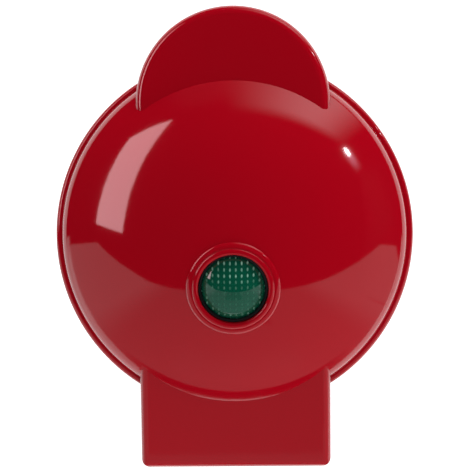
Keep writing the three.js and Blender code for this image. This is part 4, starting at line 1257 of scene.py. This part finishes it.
@dataclass
class CookingPlate:
    """One cast plate: a round dish with rows of square studs, in the base or turned over in the lid."""

    datum: Datum
    upper: bool
    radius: float = 56.6
    rim: float = -0.15
    dish_radius: float = 52.2
    dish_outer: float = 54.2
    dish_depth: float = 6.65
    underside: float = 9.15
    flange: float = 3.15
    draft: float = 1.4
    pitch: float = 12.6
    stud_foot: float = 9.6
    stud_top: float = 7.0
    stud_height: float = 4.4
    stud_side_round: float = 1.3
    stud_top_round: float = 0.8
    margin: float = 1.6
    clip_flare: float = 0.3
    clip_depth: float = 8.0

    def dish(self) -> Solid:
        """Turns the body with its rounded rim and floor corner.

        Returns:
            The dish without its studs.
        """
        floor, wall_foot = -self.dish_depth, self.dish_radius - self.draft
        edge, lip, corner = 0.4, 0.8, 1.2
        profile = [
            (self.dish_outer - self.draft, -self.underside), (self.dish_outer, -self.flange),
            (self.radius, -self.flange),
            *arc((self.radius - edge, self.rim - edge), edge, 0.0, 90.0, 4),
            *arc((self.dish_radius + lip, self.rim - lip), lip, 90.0, 170.0, 6),
            *arc((wall_foot - corner - 0.1, floor + corner), corner, -12.0, -90.0, 6),
        ]
        return Solid.spun(profile, 192)

    def stud(self) -> Solid:
        """Shapes one square stud with drafted sides and rounded edges.

        Returns:
            The stud on the dish's floor, sunk a little into it.
        """
        shape = bmesh.new()
        bmesh.ops.create_cube(shape, size=1.0)
        flare = (self.stud_foot - self.stud_top) * OVERRUN / self.stud_height
        for vert in shape.verts:
            side = self.stud_top if vert.co.z > 0 else self.stud_foot + flare
            height = self.stud_height if vert.co.z > 0 else -OVERRUN
            vert.co = (math.copysign(side / 2, vert.co.x), math.copysign(side / 2, vert.co.y), height)
        uprights = [e for e in shape.edges if abs(e.verts[0].co.z - e.verts[1].co.z) > 1.0]
        round_edges(shape, uprights, self.stud_side_round, 4)
        crown = [e for e in shape.edges if all(v.co.z > self.stud_height - 0.01 for v in e.verts)]
        round_edges(shape, crown, self.stud_top_round, 4)
        return Solid(fresh(shape)).moved(0.0, 0.0, -self.dish_depth)

    def build(self, shop: Workshop) -> None:
        """Makes the plate with its studs.

        Args:
            shop: What places and dresses the piece.
        """
        clip = self.dish_radius - self.draft - self.margin
        rows = range(-int(clip / self.pitch), int(clip / self.pitch) + 1)
        stud, cells = self.stud(), [(i * self.pitch, j * self.pitch) for i in rows for j in rows]
        first, *others = [stud.moved(x, y) for x, y in cells if math.hypot(x, y) < clip]
        cone = Solid.spun([(clip + self.clip_flare, -self.clip_depth), (clip - self.draft, 0.0)], 160)
        plate = self.dish().join(first.with_all(others).keep(cone))
        height = Matrix.Translation((0.0, 0.0, self.datum.parting))
        turned = Matrix.Rotation(math.pi, 4, "Y") if self.upper else Matrix.Identity(4)
        side, body = ("upper", "lid") if self.upper else ("lower", "base")
        plate = plate.placed(height @ turned)
        shop.piece(f"{side}_waffle_plate", plate, body, f"{side}_plate", Look.COATING)


@dataclass
class Underside:
    """The cover that closes the base from below, with its vents, and the four feet under it."""

    datum: Datum
    low: float = 4.2
    high: float = 6.2
    radius: float = 47.5
    tail_half: float = 31.1
    tail_rear: float = 80.6
    tail_corner: float = 1.5
    edge: float = 0.4
    vents: int = 7
    vent_width: float = 2.4
    vent_length: float = 26.0
    vent_pitch: float = 6.4
    pad_radius: float = 7.0
    pad_round: float = 1.0
    stem_radius: float = 2.4

    def outline(self) -> list[Point]:
        """The cover from above: a disc with a straight-sided tail under the hinge block.

        Returns:
            The outline's points.
        """
        meet = math.degrees(math.acos(self.tail_half / self.radius))
        disc = arc((0.0, 0.0), self.radius, 180.0 - meet, 360.0 + meet, 120)
        return disc + crest(-self.tail_half, self.tail_half, self.tail_rear, self.tail_corner, 6)

    def cover(self) -> Solid:
        """Shapes the flat cover.

        Returns:
            The cover with its slots, foot holes and screw holes.
        """
        low, high = self.low - OVERRUN, self.high + OVERRUN
        end, r = (self.vent_length - self.vent_width) / 2, self.vent_width / 2
        holes = []
        for i in range(self.vents):
            x = (i - (self.vents - 1) / 2) * self.vent_pitch
            slot = [*arc((x, end), r, 0.0, 180.0, 8), *arc((x, -end), r, 180.0, 360.0, 8)]
            holes.append(Solid.prism(slot, low, high))
        for foot, screw in zip(self.datum.middles("foot", 4), self.datum.middles("cover_screw", 4)):
            holes.append(Solid.post(self.stem_radius + self.datum.gap, foot, low, high))
            holes.append(Solid.post(self.datum.screw_bore, screw, low, high))
        return Solid.prism(self.outline(), self.low, self.high, self.edge).cut(*holes)

    def foot(self) -> Solid:
        """Turns a rubber pad with a dished sole and a barbed stem.

        Returns:
            The foot under the middle of the cover.
        """
        pad, r, stem, top = self.pad_radius, self.pad_round, self.stem_radius, self.low - self.datum.gap
        barb = self.high + self.datum.gap
        profile = [
            (3.4, 0.7), *arc((4.4, 0.5), 0.5, 200.0, 270.0, 4), *arc((pad - r, r), r, -90.0, 0.0, 6),
            *arc((pad - 0.4, top - 0.4), 0.4, 0.0, 90.0, 3),
            (stem, top), (stem, barb), (stem + 0.8, barb), (stem, barb + 1.4),
        ]
        return Solid.spun(profile, 64)

    def build(self, shop: Workshop) -> None:
        """Makes the cover and the feet.

        Args:
            shop: What places and dresses the pieces.
        """
        shop.piece("vented_bottom_plate", self.cover(), "base", "bottom_cover", Look.RED_SHELL)
        foot = self.foot()
        for i, spot in enumerate(self.datum.middles("foot", 4), start=1):
            shop.piece(f"rubber_foot_{i}", foot.moved(spot.x, spot.y), "base", f"foot_{i}", Look.RUBBER)


@dataclass
class Fasteners:
    """Screws with a cross recess, and the pins that the lid turns on."""

    datum: Datum
    head_radius: float = 2.7
    head_height: float = 1.5
    head_round: float = 1.3
    shank_radius: float = 1.4
    thread: float = 0.7
    thread_start: float = 0.6
    thread_depth: float = 0.25
    recess_half: float = 1.35
    recess_width: float = 0.6
    recess_depth: float = 0.9
    pin_radius: float = 2.0
    pin_head: float = 3.1
    pin_head_height: float = 1.6
    pin_start: float = 12.6
    pin_end: float = 33.2

    def screw(self, length: float) -> Solid:
        """Turns a threaded screw that points upwards, and cuts its recess.

        Args:
            length: The length of its shank.

        Returns:
            The screw, with its head's seat at zero.
        """
        r, crown, start = self.shank_radius, self.head_round, self.thread_start
        turns = 2 * int((length - r - start) / self.thread)
        thread = [(r - self.thread_depth * (k % 2), start + k * self.thread / 2) for k in range(turns + 1)]
        profile = [
            *arc((self.head_radius - crown, crown - self.head_height), crown, -90.0, 0.0, 6),
            (self.head_radius, 0.0), (r, 0.0), *thread, (r, length - r), (0.0, length),
        ]
        low, high = -self.head_height - OVERRUN, self.recess_depth - self.head_height
        long, short = self.recess_half, self.recess_width / 2
        slots = [Solid.box((-x, -y, low), (x, y, high)) for x, y in ((long, short), (short, long))]
        return Solid.spun(profile, 32).cut(*slots)

    def pin(self) -> Solid:
        """Turns a pin that stands on its inner end, with a rounded, dimpled head.

        Returns:
            The pin.
        """
        r, head, length = self.pin_radius, self.pin_head, self.pin_end - self.pin_start
        seat, tip, edge, dimple = length - self.pin_head_height, 0.4, 0.7, length - 0.35
        profile = [
            (r - tip, 0.0), (r, tip), (r, seat), (head - 0.2, seat), (head, seat + 0.2),
            *arc((head - edge, length - edge), edge, 0.0, 90.0, 6), (1.2, length), (0.8, dimple),
        ]
        return Solid.spun(profile, 48)

    def build(self, shop: Workshop) -> None:
        """Makes every screw and both pins.

        Args:
            shop: What places and dresses the pieces.
        """
        d = self.datum
        for node in (name for name in frame["nodes"] if "_screw_" in name):
            low, high = (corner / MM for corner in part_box(node))
            spot, seat, turn = d.middle(node), low.z + self.head_height, Matrix.Identity(4)
            if node.startswith("upper"):
                seat, turn = high.z - self.head_height, Matrix.Rotation(math.pi, 4, "Y")
            made = self.screw(high.z - low.z - self.head_height)
            made = made.placed(Matrix.Translation((spot.x, spot.y, seat)) @ turn)
            body = "lid" if node.startswith(("upper", "lid")) else "base"
            shop.piece(f"cross_recess_{node}", made, body, node, Look.STEEL)
        for name, side in (("left", -1), ("right", 1)):
            turn = Matrix.Rotation(side * math.pi / 2, 4, "Y")
            start = Matrix.Translation((side * self.pin_start, d.hinge_y, d.hinge_z))
            made = self.pin().placed(start @ turn)
            shop.piece(f"headed_pin_{name}", made, "lid", f"hinge_pin_{name}", Look.STEEL)


@dataclass
class CordInlet:
    """The rubber bush in the rear wall, with nothing led through it."""

    datum: Datum
    height: float = 15.08
    bore: float = 3.4
    barrel: float = 4.6
    flange: float = 6.2
    flange_face: float = 0.3
    flange_back: float = 1.4
    length: float = 9.0
    edge: float = 0.5

    def build(self, shop: Workshop) -> None:
        """Makes the bush with its rounded mouth.

        Args:
            shop: What places and dresses the piece.
        """
        face, r = self.flange_face, self.edge
        profile = [
            *arc((self.bore + r, face + r), r, 180.0, 270.0, 5),
            *arc((self.flange - r, face + r), r, -90.0, 0.0, 5),
            (self.flange, self.flange_back), (self.barrel, self.flange_back),
            (self.barrel, self.length - r), (self.barrel - r, self.length), (self.bore, self.length),
        ]
        spot = Matrix.Translation((0.0, self.datum.block_reach, self.height))
        made = Solid.spun(profile, 64, ring=True).placed(spot @ Matrix.Rotation(math.pi / 2, 4, "X"))
        shop.piece("inlet_rubber_bush", made, "base", "cord_gland", Look.RUBBER)


class Lit(Enum):
    """What a lamp does, as its visibility to diffuse and glossy rays."""

    SOFT = (True, False)
    MIRRORED = (False, True)


@dataclass(frozen=True)
class Panel:
    """A rectangular lamp or reflector card, by its corner and sides in metres from the dome's middle."""

    name: str
    corner: Place
    along: Place
    across: Place
    radiance: float
    lit: Lit = Lit.MIRRORED
    tint: Place = (1.0, 1.0, 1.0)
    # The shares of its length, and then of its width, over which it dies away at either end.
    fade: tuple[float, float, float, float] = (0.0, 0.0, 0.0, 0.0)
    # The shares of its width that are lit at the start and at the end of its length.
    cut: tuple[float, float] = (1.0, 1.0)

    @classmethod
    def card(
        cls, name: str, x: float, z: float, width: float, height: float, radiance: float = 0.37,
        y: float = 0.127, rise: float = 0.0, **more: Any,
    ) -> "Panel":
        """An upright card behind the hinge; `rise` lifts its far end, and `more` sets other fields."""
        return cls(name, (x, y, z), (width, 0.0, rise), (0.0, 0.0, height), radiance, **more)

    def feather(self, tree: bpy.types.NodeTree, turned: bool) -> None:
        """Lets the light die away towards the panel's ends and cuts it off along a sloping line.

        Args:
            tree: The lamp's node tree.
            turned: Whether the lamp's own X runs across the panel instead of along it.
        """
        place = add_node(tree, "NewGeometry", {}).outputs["Parametric"]
        spot = add_node(tree, "SeparateXYZ", {0: place}).outputs
        along, across = (spot["Y"], spot["X"]) if turned else (spot["X"], spot["Y"])
        strength: Any = 1.0
        for share, start, end in ((along, *self.fade[:2]), (across, *self.fade[2:])):
            for near, far in ((0.0, start), (1.0, 1.0 - end)):
                if near != far:
                    ends = {0: share, "From Min": near, "From Max": far}
                    ramp = add_node(tree, "MapRange", ends, interpolation_type="SMOOTHSTEP")
                    strength = add_node(tree, "Math", {0: strength, 1: ramp}, operation="MULTIPLY")
        slope = {0: along, 1: self.cut[1] - self.cut[0], 2: self.cut[0]}
        edge = add_node(tree, "Math", slope, operation="MULTIPLY_ADD")
        under = add_node(tree, "Math", {0: across, 1: edge}, operation="LESS_THAN")
        lit = add_node(tree, "Math", {0: strength, 1: under}, operation="MULTIPLY")
        wire(tree, tree.nodes["Emission"], {"Strength": lit if self.cut != (1.0, 1.0) else strength})

    def hang(self, origin: Vector) -> None:
        """Adds the panel as an area lamp that faces the origin.

        Args:
            origin: The middle of the dome, in metres.
        """
        along, across = Vector(self.along), Vector(self.across)
        centre = Vector(self.corner) + (along + across) / 2
        turned = along.cross(across).dot(centre) < 0
        if turned:
            along, across = across, along
        data = bpy.data.lights.new(self.name, "AREA")
        data.shape = "RECTANGLE"
        data.size, data.size_y = along.length, across.length
        data.energy = self.radiance * math.pi * along.length * across.length
        data.color = self.tint
        if any(self.fade) or self.cut != (1.0, 1.0):
            data.use_nodes = True
            self.feather(data.node_tree, turned)
        made = shown(self.name, data)
        x = along.normalized()
        y = (across - x * across.dot(x)).normalized()
        turn = Matrix((x, y, x.cross(y))).transposed().to_4x4()
        made.matrix_world = Matrix.Translation(origin + centre) @ turn
        made.visible_camera = False
        made.visible_diffuse, made.visible_glossy = self.lit.value
        LOG.info("%s: lamp of %.3f W", self.name, data.energy)


@dataclass
class Studio:
    """Camera, lamps, floor and surround, in metres but for the picture's own measures."""

    frame_width: float = 470.0
    scale: float = 0.3557
    disc_centre: Point = (234.5, 232.7)
    sensor: float = 36.0
    distance: float = 1.07
    side_angle: float = 1.2
    front_angle: float = 0.3
    roll: float = 0.47
    sky: float = 0.665
    room: float = 0.02
    table_half: float = 1.5
    table_glow: float = 0.75
    table_reach: float = 0.3
    table_soft: float = 0.03
    table_front: float = 0.02
    look_above: float = 2.0
    aim_height: float = 0.06
    panels: tuple[Panel, ...] = (
        Panel("front_fill", (-0.6, -1.2, 0.08), (1.2, 0.0, 0.0), (0.0, 0.0, 0.35), 7.4, Lit.SOFT),
        Panel("right_fill", (-1.2, -0.6, 0.08), (0.0, 1.2, 0.0), (0.0, 0.0, 0.35), 5.6, Lit.SOFT),
        Panel("hinge_side_fill", (-0.6, 1.2, 0.08), (1.2, 0.0, 0.0), (0.0, 0.0, 0.35), 3.6, Lit.SOFT),
        Panel("hinge_kicker", (-0.1, 0.2, 0.03), (0.2, 0.0, 0.0), (0.0, 0.0, 0.05), 1.5, Lit.SOFT),
        Panel(
            "strip_softbox", (0.594, -1.07, 0.491), (0.707, -0.098, -0.046), (0.144, 1.068, -0.048), 6.4,
            tint=(1.0, 0.68, 0.72),
        ),
        Panel(
            "key_lamp", (-1.0855, -0.706, 0.36), (0.066, -0.091, 0.0), (0.012, 0.008, 0.047), 170.0,
            fade=(0.5, 0.5, 0.5, 0.5),
        ),
        Panel(
            "key_glow", (-1.2, -0.57, 0.3), (0.2, -0.275, 0.0), (0.04, 0.025, 0.16), 3.6,
            tint=(1.0, 0.7, 0.9), fade=(0.5, 0.5, 0.5, 0.5),
        ),
        Panel(
            "front_reflector", (0.1, -0.98, 0.08), (-1.35, 0.0, -0.3), (0.0, 0.0, 0.6), 2.0,
            fade=(0.55, 0.45, 0.0, 0.3),
        ),
        Panel.card("hinge_card_low", -0.1, -0.005, 0.2, 0.095),
        Panel.card("hinge_card_middle", -0.05, 0.09, 0.1, 0.1, 0.22),
        Panel.card("hinge_card_left", 0.05, 0.09, 0.2, 0.1),
        Panel.card("hinge_card_right", -0.25, 0.09, 0.2, 0.1),
        Panel.card("left_foot_card", 0.1, -0.005, 0.15, 0.095),
        Panel.card("right_foot_card", -0.25, -0.005, 0.15, 0.095),
        Panel.card("left_base_card", 0.06, -0.06, 0.19, 0.055, fade=(0.4, 0.0, 0.0, 0.0)),
        Panel.card("right_base_card", -0.06, -0.06, -0.19, 0.055, fade=(0.4, 0.0, 0.0, 0.0)),
        Panel.card("left_wing_card", 0.25, -0.06, 1.68, 0.64, cut=(0.407, 0.98)),
        Panel.card("right_wing_card", -0.25, -0.06, -1.1, 0.25, rise=0.1),
        # The two glows stand behind the cards, because lamps in one plane don't add up in a mirrored ray.
        Panel.card(
            "left_wing_glow", 0.14, -0.06, 1.86, 0.67, 0.35, 0.132,
            fade=(0.06, 0.0, 0.0, 0.0), cut=(0.363, 0.967),
        ),
        Panel.card(
            "right_wing_glow", -0.14, -0.069, -1.25, 0.26, 0.32, 0.132, 0.114, fade=(0.08, 0.0, 0.0, 0.0),
        ),
    )

    def camera(self, datum: Datum) -> None:
        """Looks straight down, with the handle at the top of the picture.

        Args:
            datum: The appliance's planes and axes.
        """
        data = bpy.data.cameras.new("camera")
        made = shown("camera", data)
        pixel, middle = self.scale * MM, self.frame_width / 2
        data.sensor_width = self.sensor
        data.lens = self.sensor * self.distance / (self.frame_width * pixel)
        target = Vector((0.0, datum.axis_y * MM, (datum.parting + self.look_above) * MM))
        lean = [-math.tan(math.radians(angle)) for angle in (self.side_angle, self.front_angle)]
        offset = self.distance * Vector((*lean, 1.0))
        shift = pixel * Vector((self.disc_centre[0] - middle, middle - self.disc_centre[1], 0.0))
        look = -offset.normalized()
        right = look.cross(Vector((0.0, -1.0, 0.0))).normalized()
        turn = Matrix((right, right.cross(look), -look)).transposed().to_4x4()
        roll = Matrix.Rotation(math.radians(-self.roll), 4, "Z")
        made.matrix_world = Matrix.Translation(target + shift + offset) @ turn @ roll
        data.clip_start, data.clip_end = 0.01, 20.0
        bpy.context.scene.camera = made

    def lamps(self, datum: Datum) -> None:
        """Hangs the fills, the softbox, the key lamp and the reflector cards."""
        for panel in self.panels:
            panel.hang(Vector((0.0, datum.axis_y * MM, self.aim_height)))

    def surround(self) -> None:
        """Makes a soft sky, which is white to the camera and through glass.

        Glossy faces see a dark room there, as they do in the photo.
        """
        world = bpy.data.worlds.new("surround")
        bpy.context.scene.world = world
        world.cycles.sampling_method = "NONE"
        world.use_nodes = True
        tree = world.node_tree
        tree.nodes.clear()
        ray = add_node(tree, "LightPath", {}).outputs
        mirrored = add_node(tree, "Mix", {"Factor": ray["Is Glossy Ray"], "A": self.sky, "B": self.room})
        direct = {0: ray["Is Camera Ray"], 1: ray["Is Transmission Ray"]}
        clear = add_node(tree, "Math", direct, operation="MAXIMUM")
        seen = add_node(tree, "Mix", {"Factor": clear, "A": mirrored, "B": 1.0})
        light = add_node(tree, "Background", {"Color": WHITE, "Strength": seen})
        add_node(tree, "OutputWorld", {"Surface": light})

    def table_finish(self) -> bpy.types.Material:
        """Makes a matt white that glows to the camera, through glass and in glossy faces.

        In glossy faces its front half ends in the dark room, as in the photo.

        Returns:
            The material.
        """
        material = bpy.data.materials.new("table_top_white")
        material.use_nodes = True
        tree = material.node_tree
        shader = tree.nodes["Principled BSDF"]
        ray = add_node(tree, "LightPath", {}).outputs
        camera, glossy, glass = (ray[f"Is {kind} Ray"] for kind in ("Camera", "Glossy", "Transmission"))
        clear = add_node(tree, "Math", {0: camera, 1: glass}, operation="MAXIMUM")
        seen = add_node(tree, "Math", {0: clear, 1: glossy}, operation="MAXIMUM")
        glow = add_node(tree, "Math", {0: seen, 1: self.table_glow}, operation="MULTIPLY")
        white = {"Base Color": linear("#f4f4f4"), "Roughness": 0.6, "Emission Color": WHITE}
        wire(tree, shader, {**white, "Emission Strength": glow})
        place = add_node(tree, "TexCoord", {}).outputs["Object"]
        away = add_node(tree, "VectorMath", {0: place}, operation="LENGTH").outputs["Value"]
        near, beyond = self.table_reach - self.table_soft, self.table_reach + self.table_soft
        edge = {0: away, "From Min": near, "From Max": beyond}
        far = add_node(tree, "MapRange", edge, interpolation_type="SMOOTHSTEP")
        depth = add_node(tree, "SeparateXYZ", {0: place}).outputs["Y"]
        front = add_node(tree, "Math", {0: depth, 1: self.table_front}, operation="LESS_THAN")
        mirrored = add_node(tree, "Math", {0: glossy, 1: glass}, operation="SUBTRACT", use_clamp=True)
        gone = add_node(tree, "Math", {0: far, 1: front}, operation="MULTIPLY")
        hidden = add_node(tree, "Math", {0: gone, 1: mirrored}, operation="MULTIPLY")
        dark = add_node(tree, "Emission", {"Strength": self.room})
        both = add_node(tree, "MixShader", {0: hidden, 1: shader, 2: dark})
        wire(tree, tree.nodes["Material Output"], {"Surface": both})
        return material

    def floor(self) -> None:
        """Lays a table top that keeps the appliance's shadow."""
        shape = bmesh.new()
        bmesh.ops.create_grid(shape, x_segments=1, y_segments=1, size=self.table_half)
        mesh = as_mesh(shape, "table_top")
        mesh.materials.append(self.table_finish())
        shown("table_top", mesh)


def main() -> None:
    """Builds the appliance and its studio, piece by piece."""
    logging.basicConfig(level=logging.INFO, format="%(message)s")
    bpy.context.scene.view_settings.view_transform = "Standard"
    datum = Datum.read()
    shop = Workshop(datum)
    studio = Studio()
    studio.camera(datum)
    studio.surround()
    studio.floor()
    studio.lamps(datum)

    lid = LidShell(datum)
    indicator = Indicator(datum, lid)
    lid.build(shop, indicator)
    indicator.build(shop)
    BaseShell(datum).build(shop)
    for upper in (False, True):
        PlateFrame(datum, upper).build(shop)
        CookingPlate(datum, upper).build(shop)
    for maker in (Underside, Fasteners, CordInlet):
        maker(datum).build(shop)

    shop.dress(Look.SHEATH, "upper_heating_element", "lower_heating_element")
    shop.dress(Look.SHEET, "upper_heat_shield", "lower_heat_shield", "thermal_fuse")
    shop.dress(Look.PALE, "thermostat", "terminal_block")
    shop.dress(Look.BRASS, "hinge_bush_left", "hinge_bush_right")


if __name__ == "__main__":
    main()
